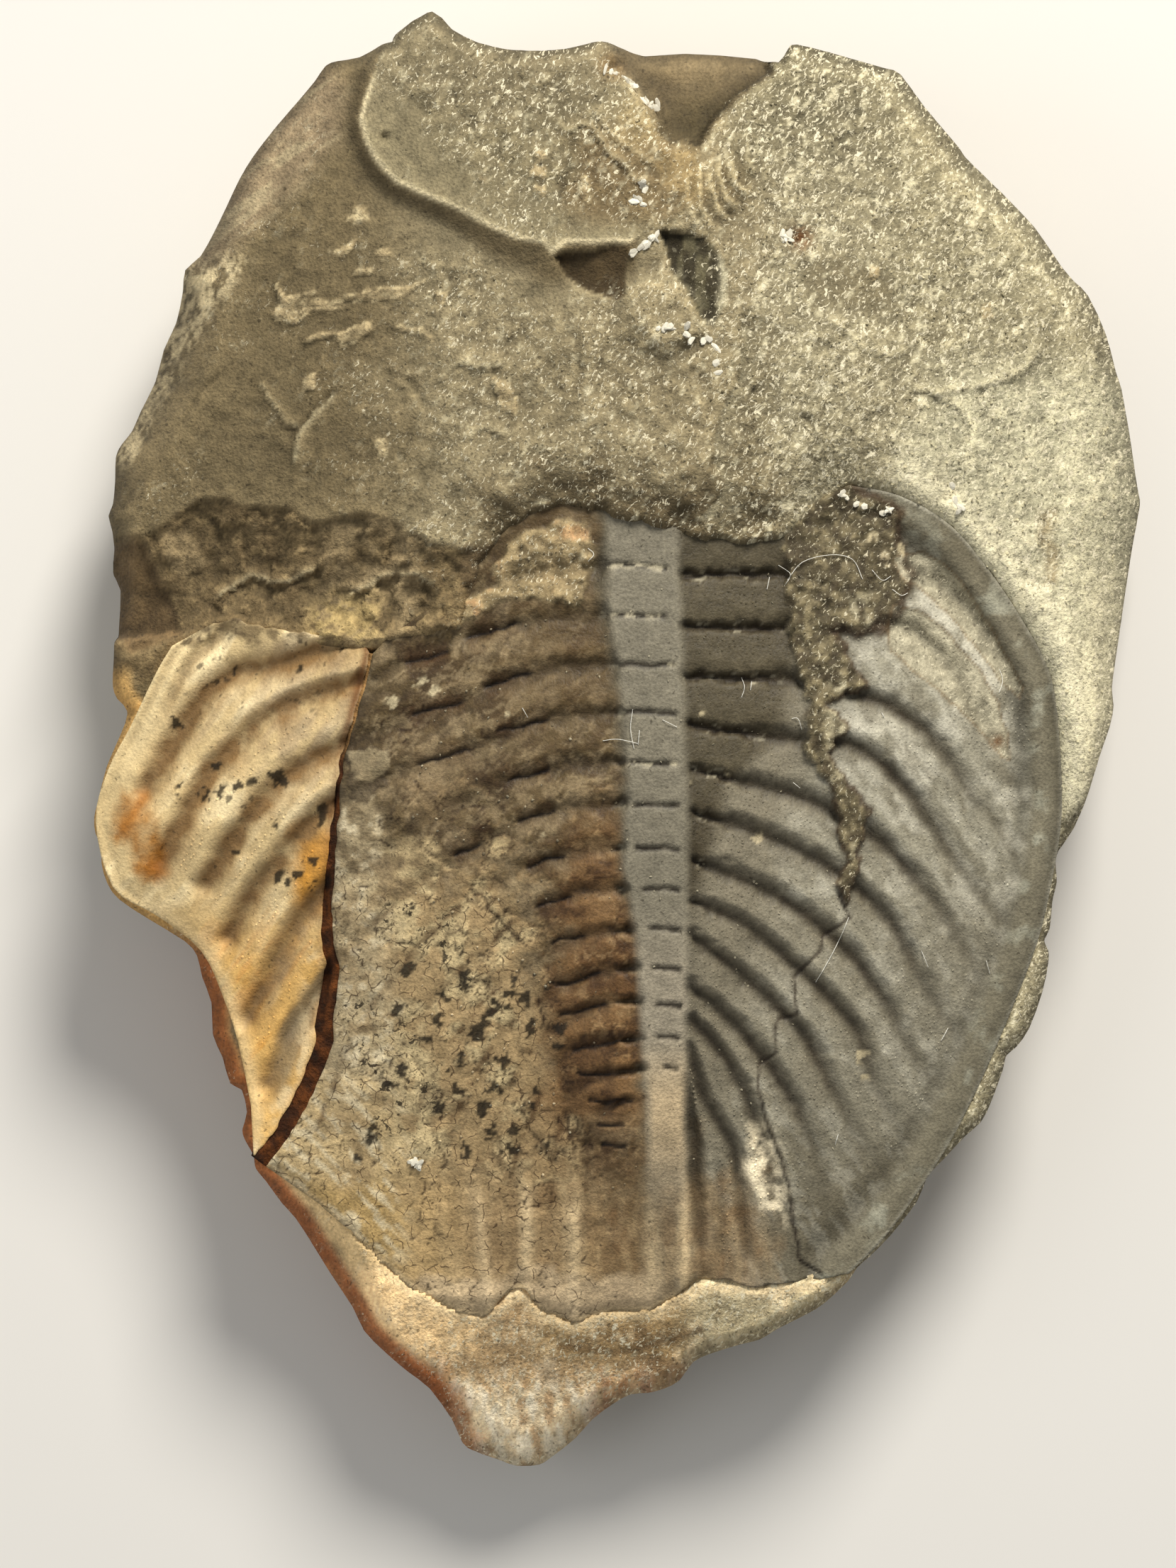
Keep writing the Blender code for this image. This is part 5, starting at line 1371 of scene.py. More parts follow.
hump = [(2.4, 39.7), (5.3, 39.6), (5.6, 37.0), (4.6, 36.4), (2.6, 37.6)]
darkPatch = [(28.5, 16.0), (29.5, 16.0), (29.6, 11.0), (28.6, 10.6)]
rustyPit = (12.0, 34.1)
pinHole = (-15.9, 41.0)
tailLine = [(-4, -41.0), (0, -41.4), (5.5, -39.8)]


def rockFace(x, y):
    # height of the rock's upper face, and its masks
    wx, wy = shaken(x, y, 0.4, 1.4, 4, 61)
    sx, sy = shaken(x, y, 0.22, 0.9, 3, 58)
    fall = np.where(x > 2.0, rock["fallRight"], rock["fallLeft"])
    front = rock["crest"] - fall * (x - 2.0) ** 2 - rock["fallFront"] * np.clip(y - 25.0, 0, None) ** 2
    front = front + rock["domeHeight"] * within(wx, wy, smallDome, 1.6)
    # the broken recess: a low crisp edge, then a slope
    deep = depthInside(0.4 * wx + 0.6 * sx, 0.4 * wy + 0.6 * sy, recess)
    front = front - rock["recessStep"] * ease(deep / 0.4 + 0.5)
    front = front - rock["recessDepth"] * np.clip(deep / 3.8, 0, 1) ** 0.9
    # the pale lobe: a sharp edge with a hollowed slope below it
    depth = depthInside(0.7 * x + 0.3 * sx, 0.7 * y + 0.3 * sy, paleLobe)
    slope = np.clip(1 + depth / np.interp(x, [-18, -12, -6, 4], [1.0, 1.5, 2.6, 3.0]), 0, 1)
    onLobe = ease(depth / 0.3 + 0.5)
    front = front + rock["lobeRise"] * np.maximum(onLobe, 0.86 * slope**1.8) * ease((7.5 - x) / 8)
    # the slope below the lobe's edge, where painted shade goes
    lobeShadeBand = slope * (1 - onLobe) * ease((1.4 - x) / 0.8) * ease((46 - y) / 2)
    gapRight = gapTo(sx, sy, hollowCliff, 12)[0]
    gapLeft = gapTo(sx, sy, hollowLeft, 12)[0]
    # the hollow beside the lobe
    bowl = isInside(sx, sy, hollowLeft + hollowCliff[::-1])
    bowl = bowl * ease(gapRight / 0.9) * ease(gapLeft / 1.8) ** 0.7
    front = front - rock["hollowDepth"] * bowl
    edges = 0
    for line, height, reach in scarps:
        step = scarp(sx, sy, line, height, reach)
        front = front + step
        edges = np.maximum(edges, np.abs(step) / abs(height))
    front = front - rock["creaseDepth"] * strokes(sx, sy, creases, 0.2)
    tri, trap = within(sx, sy, triangle, 0.25), within(sx, sy, trapezoid, 0.3)
    front = front - tri * 0.13 * (1.2 - x) - trap * 0.22 * (6.9 - x)
    front = front - rock["pinHoleDepth"] * spot(x, y, pinHole, 0.28)
    front = front - rock["pitDepth"] * spot(x, y, rustyPit, 0.7)
    flaky = 0
    for outline in flakes:
        flaky = np.maximum(flaky, within(x + 0.7 * (wx - x), y + 0.7 * (wy - y), outline, 0.2))
    crinkle = layered(x * 0.7, y * 1.6, 0, 0.9, 3, 54)
    flaky = flaky * ease(1.1 + 1.8 * crinkle)
    front = front + flaky * (rock["flakeHeight"] + 0.35 * np.clip(crinkle, -0.3, 0.5))
    calm = np.maximum(np.maximum(bowl, within(wx, wy, lobeFoot, 2.0)), np.maximum(tri, trap))
    calm = np.maximum(calm, within(wx, wy, smoothOval, 1.5))
    calm = np.maximum(calm, ease((-14 - x) / 4) * 0.6)
    rough = 1 - 0.75 * calm
    ox, oy, dice = chips(wx, wy, 1.7, 55)[2:]
    shards = (dice[0] - 0.5) * 0.16 + (ox * (dice[1] - 0.5) + oy * (dice[2] - 0.5)) * 0.22
    wideWaves, narrowWaves = rock["waves"]
    front = front + wideWaves * layered(x, y, 0, 8, 3, 63)
    front = front + rough * narrowWaves * layered(x, y, 0, 2.5, 4, 64)
    front = front + rough * (0.7 * shards + 0.13 * layered(x, y, 0, 0.7, 3, 65, 0.65))
    ox, oy, dice = chips(wx, wy, 0.62, 56)[2:]
    front = front + rough * ((dice[0] - 0.5) * 0.07 + (ox * (dice[1] - 0.5) + oy * (dice[2] - 0.5)) * 0.3)
    # towards the shell the rock thins out over it
    line = [(-60, 4.0)] + frontEdge + rightMargin[1:8] + [(60, -9.0)]
    own = ease((15.5 - x) / 4) * 0.6 + 0.15
    ex, ey = x + own * (wx - x) * 1.6, y + own * (wy - y) * 1.6
    gap, side = gapTo(ex, ey, line)[:2]
    under = isInside(x, y, shellOutline)
    level = vault(x, y) + 0.12 + 0.5 * ease((14 - x) / 5) * (0.8 + layered(x, y, 0, 1.3, 4, 57))
    thin = np.exp(-((gap / np.interp(x, [-12, -8, 12, 18], [0.3, 1.8, 2.6, 1.6])) ** 2))
    front = front + np.minimum(level - front, 0) * thin
    hidden = ease((depthInside(x, y, shellOutline) - 0.45) / 0.3)
    behind = vault(x, y) - 0.16 - under * (0.26 + 0.8 * hidden)
    tail = rock["tailHeight"] - rock["tailSlope"] * np.clip(rock["tailFrom"] - y, 0, None)
    threadwise = x + 0.25 * y + 0.6 * layered(x, y, 0, 3.0, 2, 60)
    fibres = layered(threadwise * 2.2, (y - 0.25 * x) * 0.45, 0.7 * x, 1.1, 4, 66)
    tail = tail + 0.35 * layered(x, y, 0, 3.0, 4, 67) + 0.5 * fibres * ease((-37 - y) / 3)
    behind = np.where(y < rock["tailFrom"], np.minimum(behind, tail), behind)
    behind = behind + 0.14 * layered(x, y, 0, 1.2, 4, 68) * (1 - under)
    share = ease(0.5 - gap * side / 0.7)
    z = behind + (front - behind) * share
    dark = ease(deep / 0.8 + 0.5)
    facet = within(sx, sy, leftFacet, 0.5)
    broken = 0.14 * layered(x, y, 0, 2.2, 3, 69) + 0.2 * layered(x, y, 0, 0.5, 3, 70, 0.7)
    broken = broken + 0.12 * (dice[0] - 0.5) + 1.5 * shards
    z = z + np.clip(dark * 1.6, 0, 1) * broken * (1 - facet) * share - 0.5 * facet
    inside = np.clip(depthInside(x, y, rockOutline), 0, None)
    width, drop = np.full(np.shape(x), 1.2), np.full(np.shape(x), 1.3)
    for (px, py), reach, moreWidth, moreDrop in edgeSlopes:
        near = np.exp(-((x - px) ** 2 + (y - py) ** 2) / reach**2)
        width, drop = width + moreWidth * near, drop + moreDrop * near
    z = z - drop * np.clip(1 - inside / width, 0, 1) ** 1.6
    z = np.minimum(z, rock["top"])
    masks = {
        "bowl": bowl, "inside": inside, "under": under, "edges": edges, "tri": tri, "trap": trap,
        "calm": calm, "dark": dark, "dice": dice[2], "fibres": fibres, "onLobe": onLobe, "lobeShadeBand": lobeShadeBand,
        # rim: the lobe's sharp edge, where a painted highlight goes
        "rim": bell(depth - 0.12, 0.16) * ease((3.4 - x) / 2), "cliff": gapRight, "facet": facet,
        "flaky": flaky,
    }
    return z, masks


def rockLook(x, y, z, m):
    # colour zones and marks of the upper face; m holds the masks that rockFace gives
    n = len(x)
    wide, cloud, small = (layered(x, y, z, size, 4, 71) for size in (6.0, 1.6, 0.55))
    wx, wy = shaken(x, y, 0.5, 1.8, 3, 72)
    lobe, dark, lobeShadeBand = m["onLobe"] * ease((8 - x) / 6), m["dark"], m["lobeShadeBand"]
    tone = plain((112, 98, 70), n)
    paint(tone, (138, 125, 95), ease((x + 18 + 4 * wide) / 7))
    paint(tone, (146, 136, 107), ease((x - 6.5 + 2 * wide) / 6))
    paint(tone, (180, 173, 142), ease((x - 18 + 5 * wide) / 8))
    paint(tone, (190, 183, 151), blotch(x, y, (22, 19.5), 6, 5) * ease(0.7 + cloud * 2) * 0.8)
    toShell = depthInside(x, y, shellOutline)
    paint(tone, (208, 199, 166), bell(toShell + 1.4, 1.4) * ease((x - 17) / 3) * 0.7)
    paint(tone, (112, 104, 80), ease((y - 36) / 6) * ease((x - 5) / 4) * 0.85)
    # painted highlight: the far right edge, which falls away towards the light, paler
    paint(tone, (212, 202, 166), ease((x - 30.5 + 2 * wide) / 3) * ease((15 - y) / 6) * 0.9)
    paint(tone, (138, 128, 99), ease((x - 16) / 5) * ease((y - 23) / 5) * 0.85)
    # painted shade on the slope that falls to the shell's front edge
    middle = ease((19.6 + 3.0 * cloud - y) / 3) * ease((13 - x) / 4)
    paint(tone, (84, 72, 50), middle * ease((x + 12) / 4) * 0.85)
    besideBreak = ease(1 - np.abs(x - 8.6 - 0.15 * (y - 22) + cloud) / 2.6)
    paint(tone, (112, 101, 75), besideBreak * ease((30 - y) / 4) * 0.7)
    paint(tone, (196, 178, 138), within(wx, wy, leftStrip, 1.6) * ease(0.55 + 2.5 * small + cloud))
    striae = layered((x * 0.55 - y * 0.83) * 2.4, (x * 0.83 + y * 0.55) * 0.3, 0, 1.0, 3, 74)
    topLeft = within(wx, wy, topLeftSlope, 2.5)
    paint(tone, (140, 122, 94), topLeft * 0.9)
    paint(tone, (176, 160, 124), topLeft * ease(3 * striae - 0.2) * 0.6)
    paint(tone, (126, 115, 87), lobe)
    paint(tone, (118, 107, 82), lobe * ease((y - 40) / 6) * 0.6)
    paint(tone, (114, 98, 69), lobe * ease((x + 5 + cloud) / 3) * ease((y - 34) / 2) * ease((43 - y) / 3))
    # painted shade on the slope below the lobe's edge
    paint(tone, (106, 92, 65), np.clip(lobeShadeBand * 2.2, 0, 1) * 0.9)
    # painted highlight along the lobe's sharp edge
    paint(tone, (214, 198, 158), m["rim"] * ease((1.4 - x) / 1.0) * ease((46 - y) / 2) * 0.75)
    paint(tone, (148, 130, 92), blotch(x, y, (1.2, 41.6), 2.6, 3.2) * 0.7)
    paint(tone, (122, 106, 77), m["bowl"])
    # painted shadow in the hollow below its cliff, darkest at the cliff's foot
    paint(tone, (96, 84, 58), m["bowl"] * ease(1.3 - np.hypot((x - 6) / 4.0, (y - 41.5) / 3.0)))
    paint(tone, (84, 73, 50), ease(1.4 - m["cliff"] / 1.0) * np.clip(m["bowl"] * 4, 0, 1) * 0.8)
    paint(tone, (140, 120, 82), within(wx, wy, hump, 1.0) * 0.8)
    hackly = blotch(x, y, (6.6, 37.6), 2.8, 3.4)
    # painted highlight on the crests of the small broken steps and painted shade between them
    paint(tone, (168, 150, 110), hackly * m["edges"] ** 2)
    paint(tone, (104, 88, 58), hackly * ease(1 - 3 * m["edges"]) * 0.8)
    paint(tone, (112, 86, 50), blotch(x, y, (-0.6, 45.6), 1.6, 1.6) * 0.7)
    # painted shade on two facets that face away from the light, and a painted highlight along the right
    # edge of one
    paint(tone, (84, 69, 45), m["tri"])
    paint(tone, (64, 57, 40), m["trap"])
    paint(tone, (116, 108, 80), m["trap"] * ease(3 * layered(x * 2.5, y * 0.5, 0, 1.0, 3, 76)) * 0.7)
    paint(tone, (204, 194, 160), bell(x - 6.9 + 0.04 * (y - 31) ** 2, 0.25) * m["trap"] * 0.7)
    paint(tone, (118, 107, 80), within(wx, wy, smoothOval, 1.6) * 0.8)
    paint(tone, (120, 78, 42), spot(x, y, rustyPit, 0.75))
    paint(tone, (140, 124, 92), within(wx, wy, darkPatch, 0.8) * 0.8)
    # the flakes in the rock's own tan, with a painted highlight along their edges
    paint(tone, (150, 133, 99), m["flaky"] * (0.7 + 1.2 * small))
    paint(tone, (202, 184, 142), m["flaky"] * ease(1 - np.abs(m["flaky"] - 0.75) / 0.25) * 0.7)
    paint(tone, (110, 93, 64), dark)
    paint(tone, (86, 71, 48), dark * ease(cloud * 2 + small) * 0.55)
    paint(tone, (140, 120, 84), dark * ease(small * 3 - cloud - 0.3) * 0.7)
    recessMiddle = ease((x + 22) / 4) * ease((-12 - x) / 3) * dark
    paint(tone, (158, 138, 102), recessMiddle * ease(0.6 + cloud * 2) * 0.6)
    paint(tone, (106, 86, 58), m["facet"] * 0.9)
    paint(tone, (134, 116, 84), within(wx, wy, recessFacet, 0.5) * 0.8)
    paint(tone, (80, 66, 46), within(wx, wy, darkPocket, 0.6) * 0.8)
    paint(tone, (160, 138, 92), within(wx, wy, yellowPatch, 1.8) * ease(0.7 + 2.4 * small + cloud))
    # painted highlight along the crests of the broken edges
    paint(tone, (206, 194, 156), np.clip(m["edges"] ** 5, 0, 1) * 0.5)
    # behind the shell: a pale rim follows its broken edge
    tail = ease((-35.0 - y) / 1.5)
    paint(tone, (208, 178, 128), ease((-24 - y) / 2) * ease((-14 - x) / 2) * 0.9)
    threads = layered((x + 0.1 * y + 0.5 * cloud) * 2.8, y * 0.6 + cloud, 0, 1.0, 4, 77)
    paint(tone, (180, 150, 108), tail)
    browner = tail * ease((x + 8) / 4) * ease((-36.5 - y + cloud) / 1.5)
    paint(tone, (164, 136, 92), browner * ease((43 + y) / 2) * 0.8)
    paint(tone, (186, 170, 132), tail * ease((x - 3) / 3))
    paint(tone, (124, 98, 66), tail * blotch(x, y, (1.5, -40.6), 6.5, 1.6) * ease(0.7 + 2 * cloud) * 0.75)
    paint(tone, (250, 212, 154), tail * ease((-8 - x + cloud) / 3) * ease((43 + y) / 3) * 0.85)
    paint(tone, (222, 198, 156), tail * ease(threads * 3) * ease(0.5 + cloud * 2) * 0.6)
    paint(tone, (104, 82, 54), tail * ease(-threads * 3 - 0.2) * ease(0.6 + cloud * 2) * 0.4)
    toShell = depthInside(x + 0.3 * cloud, y, shellOutline)
    paint(tone, (218, 194, 150), bell(toShell + 0.4, 0.35) * tail * 0.7)
    white = ease((-41.5 - y + 1.5 * cloud) / 3) * ease((x + 14.5) / 2)
    paint(tone, (222, 188, 138), white)
    paint(tone, (244, 222, 180), white * ease((-42.5 - y + cloud) / 3) * 0.7)
    paint(tone, (255, 240, 208), white * ease(m["fibres"] * 4) * 0.8)
    paint(tone, (160, 118, 74), white * ease(-m["fibres"] * 4 - 0.2) * 0.6)
    rusty = white * ease((x + 3.2 + cloud) / 2.5)
    paint(tone, (172, 112, 62), rusty * ease(m["fibres"] * 2 + cloud + 0.5) * 0.8)
    paint(tone, (182, 110, 56), white * ease((-9.5 - x + cloud - 0.4 * (y + 46)) / 1.5) * 0.6)
    paint(tone, (110, 84, 54), blotch(x, y, (2.6, -42.6), 2.8, 1.8) * 0.8)
    paint(tone, (96, 74, 48), bell(gapTo(x, y, tailLine, 3)[0], 0.3) * 0.7)
    out = ease((1.6 - m["inside"]) / 0.8)
    paint(tone, (224, 178, 108), out * ease((-24 - x) / 2) * ease((6 - y) / 2))
    paint(tone, (136, 126, 98), ease((-3 - y) / 3) * ease((x - 14) / 3) * (1 - tail) * 0.9)
    paint(tone, (172, 98, 50), out * ease((-10 - x) / 3) * ease((-12 - y) / 3) * 0.9)
    paint(tone, (216, 146, 88), ease((-17.5 - x - 0.35 * (y + 40) + cloud) / 1.2) * tail * 0.8)
    tone *= (1 + 0.26 * small * (1 - 0.4 * m["calm"]) + 0.12 * cloud + 0.16 * (m["dice"] - 0.5))[:, None]
    # pale flecks that the grid can carry, over the finer ones of the material
    u, v = 0.86 * x - 0.5 * y, 0.5 * x + 0.86 * y
    streak = layered(u, v * 0.5, 0, 0.36, 3, 75, 0.6)
    flecky = 0.25 + 0.45 * ease((x - 4) / 8) + 0.1 * lobe + 0.25 * ease((x + 14) / 6)
    flecky = flecky - 0.1 * dark - 0.3 * m["calm"]
    flecky = flecky - 0.5 * np.clip(lobeShadeBand * 2, 0, 1) + 0.35 * cloud + 0.3 * wide
    flecky = np.clip(flecky - 0.5 * m["bowl"] - 0.2 * dark, 0.03, 1)
    paint(tone, (222, 211, 174), ease((streak - 0.42 + 0.14 * flecky) / 0.12) * flecky * 0.6)
    paint(tone, (80, 69, 48), ease((-streak - 0.50 + 0.1 * flecky) / 0.15) * 0.4)
    return tone, marksOf(n, flecky, 0.4 - 0.25 * m["calm"], 0.1 * dark, 0.1 + 0.5 * m["calm"])


def onBlock(x, y):
    wide, long = rock["halfWidth"], rock["halfLength"]
    return np.clip(x, -wide, wide), np.clip(y, -long, long)


def underShell(x, y):
    return depthInside(x, y, shellOutline) > 1.3


def rockSolid():
    # the upper face on a fine grid, then rings down the sides to the belly; the open part is closed below
    x, y, quads, loops = gridOver(curved(rockOutline, True, 2), rock["cell"] * coarser, underShell)
    x, y = onBlock(x, y)
    z, masks = rockFace(x, y)
    tone, marks = rockLook(x, y, z, masks)
    # painted shade in the hollows and painted highlight on what stands out
    tone *= paintedShadeAndHighlight(quads, z, 1.0)
    points = [np.stack([x, y, z], 1)]
    lies = [np.stack([x, y], 1)]
    faces = quads.tolist()
    count = len(x)
    upper = rim = loops[0]
    px, py, pz = x[rim], y[rim], z[rim]
    along = lengthsTo(np.stack([px, py], 1))
    bottom = sideProfile[4][0]
    down = [0.02, 0.06] + list(np.linspace(0.1, 1, 22))
    levels = [(share, None) for share in down] + [(1, h) for h in (4.4, 3.6, 2.8, 2.0, 1.3, 0.7, 0.25, 0.0)]
    for share, height in levels:
        if (share == down[2] or height == 2.8) and len(px) % 2 == 0:
            px, py, pz, along = px[::2], py[::2], pz[::2], along[::2]
        level = pz + (bottom - pz) * share if height is None else np.full(len(px), height)
        lower = np.arange(count, count + len(px))
        points.append(sidePlace(px, py, level, ease(share / 0.08)))
        lies.append(np.stack([along, level], 1))
        faces += wallFaces(upper, lower)
        upper = lower
        count += len(px)
    points.append(np.array([[0, 0, 0.0]]))
    lies.append(np.zeros((1, 2)))
    faces += fanFaces(upper, count)
    count += 1
    for loop in loops[1:]:
        points.append(np.array([[x[loop].mean(), y[loop].mean(), 8.0]]))
        lies.append(np.zeros((1, 2)))
        faces += fanFaces(loop, count)
        count += 1
    points = np.vstack(points)
    sideTone, sideMarks = sideLook(*points[len(x):].T)
    colours = {"tone": np.vstack([tone, sideTone]), "marks": np.vstack([marks, sideMarks])}
    return solidMesh("matrixRock", points, faces, colours, np.vstack(lies))


def sidePlace(px, py, height, share):
    # a place on the side at this height, below the upper edge at (px, py)
    profile = np.array(sideProfile)
    reach = np.interp(height, profile[:, 0], profile[:, 1])
    own = np.interp(height, profile[:, 0], profile[:, 2])
    wide, long = rock["restingOval"]
    spread = reach * (own + (1 - own) / np.hypot(2 * px / wide, 2 * py / long))
    x, y = px * spread, py * spread
    relief = 0.9 * (0.5 + 0.5 * layered(x, y, height, 7.0, 3, 81)) ** 2
    relief = relief + 0.7 * np.clip(layered(x, y, height * 1.5, 3.0, 3, 85), 0, 1)
    relief = relief + 0.35 * (0.5 + 0.5 * layered(x, y, height, 1.3, 3, 82))
    relief = relief * share * ease((height - 0.1) / 2.0 + 0.1)
    far = np.hypot(x, y)
    x, y = x * (1 - relief / far), y * (1 - relief / far)
    return np.stack([*onBlock(x, y), height], 1)


def sideLook(x, y, z):
    n = len(x)
    wide, cloud, small = (layered(x, y, z, size, 4, 83) for size in (7.0, 2.2, 0.7))
    tone = plain((142, 127, 96), n)
    paint(tone, (176, 160, 122), ease(0.5 + 1.5 * wide))
    paint(tone, (104, 88, 62), ease(cloud * 3) * 0.55)
    # painted highlight on the sides towards the right, higher up
    paint(tone, (206, 196, 160), ease((x - 20) / 8) * ease((z - 6 + 4 * wide) / 8) * 0.7)
    orange = ease((-8 - x) / 6) * ease((-8 - y) / 6)
    paint(tone, (188, 122, 74), orange * ease(0.7 + 1.5 * cloud) * 0.8)
    paint(tone, (150, 84, 44), orange * ease(cloud * 3 - 0.2) * 0.6)
    paint(tone, (112, 98, 72), ease((3 - z) / 3) * 0.6)
    tone *= (1 + 0.2 * small)[:, None]
    return tone, marksOf(n, 0.35, 0.45, 0.0, 0.0)


finished(rockSolid(), limestone, "limestone", "matrix")
report("rock")


# Small grains, crumbs, chips and lint, grown with Geometry Nodes
loose = {
    "seed": 7,
    "granuleSizes": (0.07, 0.12),  # smallest and largest radius
    "granuleStep": 0.40,
    "granuleRows": (0.22, 0.36, 0.5),  # from one furrow towards the next
    "granuleShare": 0.62,
    "crumbSizes": (0.04, 0.13),
    "chipSizes": (0.12, 0.3),
    "chipLong": 1.9,
    "chipFlat": 0.5,
    "lintRadius": 0.024,
    "lintStep": 0.12,
    "lintArch": 0.12,
    "rockCrumbs": 1300,
    "shellCrumbs": 360,
    "rockCrumb": (206, 194, 158),
    "shellCrumb": (206, 196, 166),
    "chip": (224, 217, 196),
    "lint": (226, 222, 208),
}
whiteChips = [  # from, to and how many stones lie along it
    ((-1.0, 45.3), (-0.2, 45.0), 3), ((0.2, 44.7), (0.9, 44.2), 6), ((1.5, 43.4), (2.6, 42.8), 9),
    ((1.4, 37.6), (1.6, 37.4), 5), ((1.0, 36.6), (1.3, 36.3), 4), ((0.9, 33.0), (2.3, 34.2), 10),
    ((2.6, 27.9), (4.0, 28.1), 5), ((4.2, 27.4), (5.8, 27.2), 4), ((10.8, 34.3), (11.2, 34.0), 6),
    ((22.4, 17.4), (22.8, 15.8), 5), ((-14.0, -28.0), (-13.7, -28.6), 5), ((6.3, 26.5), (6.6, 24.9), 3),
    ((14.6, 17.0), (16.2, 16.2), 5), ((17.6, 15.8), (18.1, 16.0), 3),
]
lint = [
    [(0.8, 2.5), (0.65, 1.2), (0.9, -0.2)], [(1.25, 1.1), (1.15, 0.1)], [(2.8, 1.8), (3.8, 1.3)],
    [(-2.2, 13.3), (-1.8, 12.9), (-2.2, 12.4)], [(8.1, 4.7), (8.3, 4.0), (8.1, 3.3)],
    [(8.8, 4.4), (8.7, 3.8)], [(10.0, 11.4), (9.8, 10.5)], [(11.5, 1.9), (11.9, 1.9), (12.2, 1.1)],
    [(11.6, -2.4), (12.1, -2.8)], [(11.2, 11.2), (12.2, 12.4), (14.1, 12.9), (15.6, 12.6), (16.3, 11.2)],
    [(15.4, -11.5), (14.6, -13.4), (13.2, -15.9)], [(20.4, -13.8), (20.9, -15.0)],
    [(22.3, -19.1), (21.8, -20.0)], [(24.9, -14.5), (25.2, -15.5)], [(14.8, -26.3), (14.6, -27.0)],
    [(25.7, 5.3), (25.9, 4.5), (25.6, 3.6)], [(18.3, 10.6), (18.9, 10.2), (19.4, 10.4)],
    [(17.6, 2.3), (17.8, 1.9)], [(-1.2, 0.4), (-0.2, 0.5), (1.2, 0.2)], [(-6.6, 2.6), (-6.2, 1.9)],
    [(10.6, 12.2), (11.4, 11.6), (11.0, 10.8)], [(16.9, 11.9), (17.6, 11.2), (18.2, 11.5)],
]


class Grower(Tree):
    # a Geometry Nodes tree with named sizes; grow() gives what it makes as a plain mesh
    def __init__(self, name, sizes):
        self.group = bpy.data.node_groups.new(name, "GeometryNodeTree")
        self.nodes = self.group.nodes
        self.links = self.group.links
        self.sizes = sizes
        sockets = self.group.interface
        sockets.new_socket("Geometry", in_out="INPUT", socket_type="NodeSocketGeometry")
        self.handles = {}
        for key in sizes:
            made = sockets.new_socket(key, in_out="INPUT", socket_type="NodeSocketFloat")
            self.handles[key] = made.identifier
        sockets.new_socket("Geometry", in_out="OUTPUT", socket_type="NodeSocketGeometry")
        self.start = self.nodes.new("NodeGroupInput")
        self.end = self.nodes.new("NodeGroupOutput")

    def given(self, name):
        return Value(self, self.start.outputs[name])

    def dice(self, low, high, seed):
        vector = {"data_type": "FLOAT_VECTOR"}
        return self.add("FunctionNodeRandomValue", vector, {0: low, 1: high, "Seed": seed})

    def close(self, geometry, material):
        whole = self.add("GeometryNodeRealizeInstances", values={0: geometry})
        dressed = self.add("GeometryNodeSetMaterial", values={"Geometry": whole, "Material": material})
        self.put(self.end.inputs[0], dressed)

    def grow(self, name, points, tone, edges=()):
        colours = {"tone": tone, "marks": marksOf(len(points), 0.0, 0.0, 0.0, 0.3)}
        piece = solidMesh(name, points, [], colours, np.asarray(points)[:, :2], edges)
        growth = piece.modifiers.new("growth", "NODES")
        growth.node_group = self.group
        for key, handle in self.handles.items():
            growth[handle] = self.sizes[key]
        ready = piece.evaluated_get(bpy.context.evaluated_depsgraph_get())
        seeds, piece.data = piece.data, bpy.data.meshes.new_from_object(ready)
        piece.modifiers.remove(growth)
        bpy.data.meshes.remove(seeds)
        piece.data.name = name
        return piece


def stonesOn(name, smallest, largest, material, flat=1.0, long=1.0):
    # a small stone with few faces on every point, turned and scaled at random; flat ones lie down
    sizes = {"Smallest": smallest * mm, "Largest": largest * mm, "Length": long, "Height": flat}
    t = Grower(name, sizes)
    pebble = t.add("GeometryNodeMeshIcoSphere", values={"Radius": 1.0, "Subdivisions": 1})
    tilt = 6.28 if flat == 1 else 0.5
    turn = t.dice((0, 0, 0), (tilt, tilt, 6.28), loose["seed"])
    size = t.dice(t.given("Smallest"), t.given("Largest"), 3 * loose["seed"])
    sides = {"X": t.given("Length"), "Y": 1.0, "Z": t.given("Height")}
    sides = t.add("ShaderNodeCombineXYZ", values=sides)
    size = t.add("ShaderNodeVectorMath", {"operation": "MULTIPLY"}, {0: size, 1: sides})
    sockets = {"Points": t.given("Geometry"), "Instance": pebble, "Rotation": turn, "Scale": size}
    spread = t.add("GeometryNodeInstanceOnPoints", values=sockets)
    t.close(spread, material)
    return t


def lintTree(material):
    t = Grower("lint", {"Radius": loose["lintRadius"] * mm})
    line = t.add("GeometryNodeMeshToCurve", values={"Mesh": t.given("Geometry")})
    sizes = {"Resolution": 5, "Radius": t.given("Radius")}
    ring = t.add("GeometryNodeCurvePrimitiveCircle", {"mode": "RADIUS"}, sizes)
    tube = {"Curve": line, "Profile Curve": ring, "Fill Caps": True}
    t.close(t.add("GeometryNodeCurveToMesh", values=tube), material)
    return t


def spaced(line, step):
    points = np.array(line, float)
    lengths = lengthsTo(points)
    places = np.arange(0, lengths[-1], step)
    return np.stack([np.interp(places, lengths, points[:, k]) for k in (0, 1)], 1)


def onShell(places, look, lift):
    x, y = np.array(places, float).T
    z, masks = shellFace(x, y)
    return np.stack([x, y, z + lift], 1), look(x, y, z, masks)[0], masks


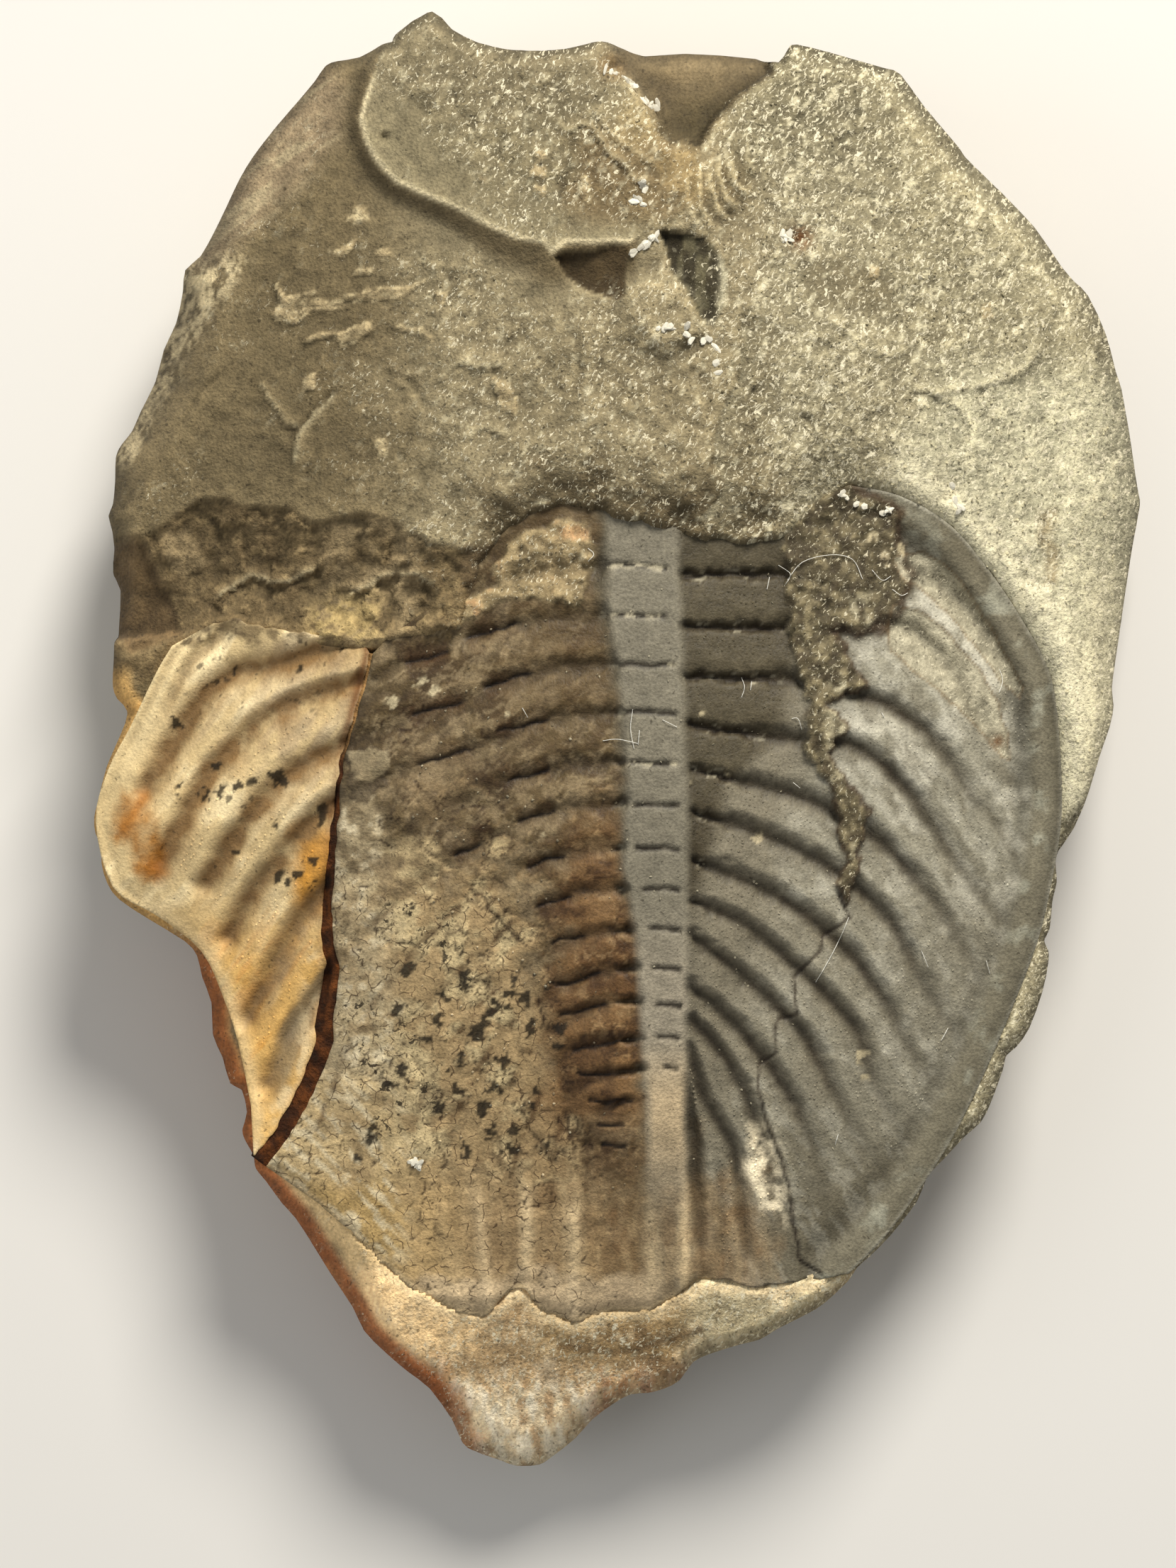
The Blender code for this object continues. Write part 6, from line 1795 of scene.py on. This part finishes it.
def granules(furrows, look, keep):
    # rows of them on the ribs, on the lines between neighbouring furrows
    dice = np.random.default_rng(loose["seed"])
    places = []
    for first, second in zip(furrows, furrows[1:]):
        a, b = (spaced(curved(line), 0.05) for line in (first, second))
        share = np.linspace(0, 1, 400)
        a, b = (p[(share * (len(p) - 1)).astype(int)] for p in (a, b))
        for mix in loose["granuleRows"]:
            row = spaced(a + (b - a) * mix, loose["granuleStep"])
            row = row + dice.normal(0, 0.07, row.shape)
            places.append(row[dice.random(len(row)) < loose["granuleShare"]])
    places = np.vstack(places)
    points, tone, masks = onShell(places, look, -0.035)
    kept = keep(places[:, 0], places[:, 1], masks)
    return points[kept], tone[kept] * dice.uniform(1.0, 1.35, (kept.sum(), 1))


def bareShell(x, y, m):
    rocky = np.maximum(m["clinging"], m["bare"])
    return (rocky < 0.2) & (m["rim"] > 1.6) & (m["strip"] < 0.3) & (y < 13.0)


def bareFlank(x, y, m):
    return (m["flank"] > 0.9) & (depthInside(x, y, flankOutline) > 0.8) & (m["depth"] < 0.4)


def growGranules():
    size = loose["granuleSizes"]
    grown = granules(rightFurrows, shellLook, bareShell)
    tree = stonesOn("granulesRight", *size, greyShell)
    finished(tree.grow("granulesRight", *grown), greyShell, "grey_shell")
    grown = granules(leftFurrows[:7], flankLook, bareFlank)
    tree = stonesOn("granulesFlank", *size, creamShell)
    finished(tree.grow("granulesFlank", *grown), creamShell, "cream_shell")


def growCrumbs(dice):
    # on the rock where it is rough, and strewn over the shell
    most = loose["rockCrumbs"]
    x, y = dice.uniform(-34, 34, 9 * most), dice.uniform(-48, 48, 9 * most)
    kept = depthInside(x, y, rockOutline) > 0.8
    x, y = x[kept], y[kept]
    z, m = rockFace(x, y)
    tone, marks = rockLook(x, y, z, m)
    chance = marks[:, 0] ** 2 * (1 - m["calm"]) * (1 - m["under"]) * (1 - m["dark"])
    chance = chance * (0.4 + 0.6 * (y > 12))
    kept = np.nonzero(dice.random(len(x)) < chance)[0][:most]
    rockPoints = np.stack([x, y, z + 0.01], 1)[kept]
    rockTone = tone[kept] * 0.7 + toLight(loose["rockCrumb"]) * dice.uniform(0.05, 0.4, (len(kept), 1))
    most = loose["shellCrumbs"]
    places = dice.uniform((-14, -30), (15, 14), (6 * most, 2))
    places = places[isInside(*places.T, shellOutline)]
    points, tone, m = onShell(places, shellLook, 0.01)
    chance = 0.05 + 0.3 * m["clinging"] + 0.3 * m["patch"] + 0.35 * m["slits"]
    chance = chance + 0.12 * m["inner"] + 0.25 * m["core"]
    kept = np.nonzero(dice.random(len(chance)) < chance)[0][:most]
    points = np.vstack([rockPoints, points[kept]])
    tone = tone[kept] * 0.7 + toLight(loose["shellCrumb"]) * dice.uniform(0.05, 0.5, (len(kept), 1))
    tree = stonesOn("crumbs", *loose["crumbSizes"], limestone)
    finished(tree.grow("crumbs", points, np.vstack([rockTone, tone])), limestone, "limestone")


def growChips(dice):
    places = []
    for first, last, count in whiteChips:
        share = np.linspace(0, 1, count)[:, None] + dice.normal(0, 0.12, (count, 1))
        places.append(np.array(first) + share * np.subtract(last, first) + dice.normal(0, 0.1, (count, 2)))
    x, y = np.vstack(places).T
    z = np.maximum(rockFace(x, y)[0], shellFace(x, y)[0] * isInside(x, y, shellOutline))
    tone = toLight(loose["chip"]) * dice.uniform(0.75, 1.05, (len(x), 1))
    tree = stonesOn("whiteChips", *loose["chipSizes"], limestone, loose["chipFlat"], loose["chipLong"])
    finished(tree.grow("whiteChips", np.stack([x, y, z + 0.03], 1), tone), limestone, "limestone")


def growLint():
    points, edges = [], []
    for line in lint:
        x, y = spaced(curved(line), loose["lintStep"]).T
        arch = np.sin(np.linspace(0, math.pi, len(x))) * loose["lintArch"]
        z = shellFace(x, y)[0] + 0.05 + arch + 0.05 * layered(x, y, 0, 0.7, 2, 97)
        edges += [(len(points) + k, len(points) + k + 1) for k in range(len(x) - 1)]
        points += np.stack([x, y, z], 1).tolist()
    tone = plain(loose["lint"], len(points))
    finished(lintTree(creamShell).grow("lint", points, tone, edges), creamShell, "cream_shell")


growGranules()
dice = np.random.default_rng(loose["seed"] + 1)
growCrumbs(dice)
growChips(dice)
growLint()
report("loose bits")


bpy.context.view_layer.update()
report("done")
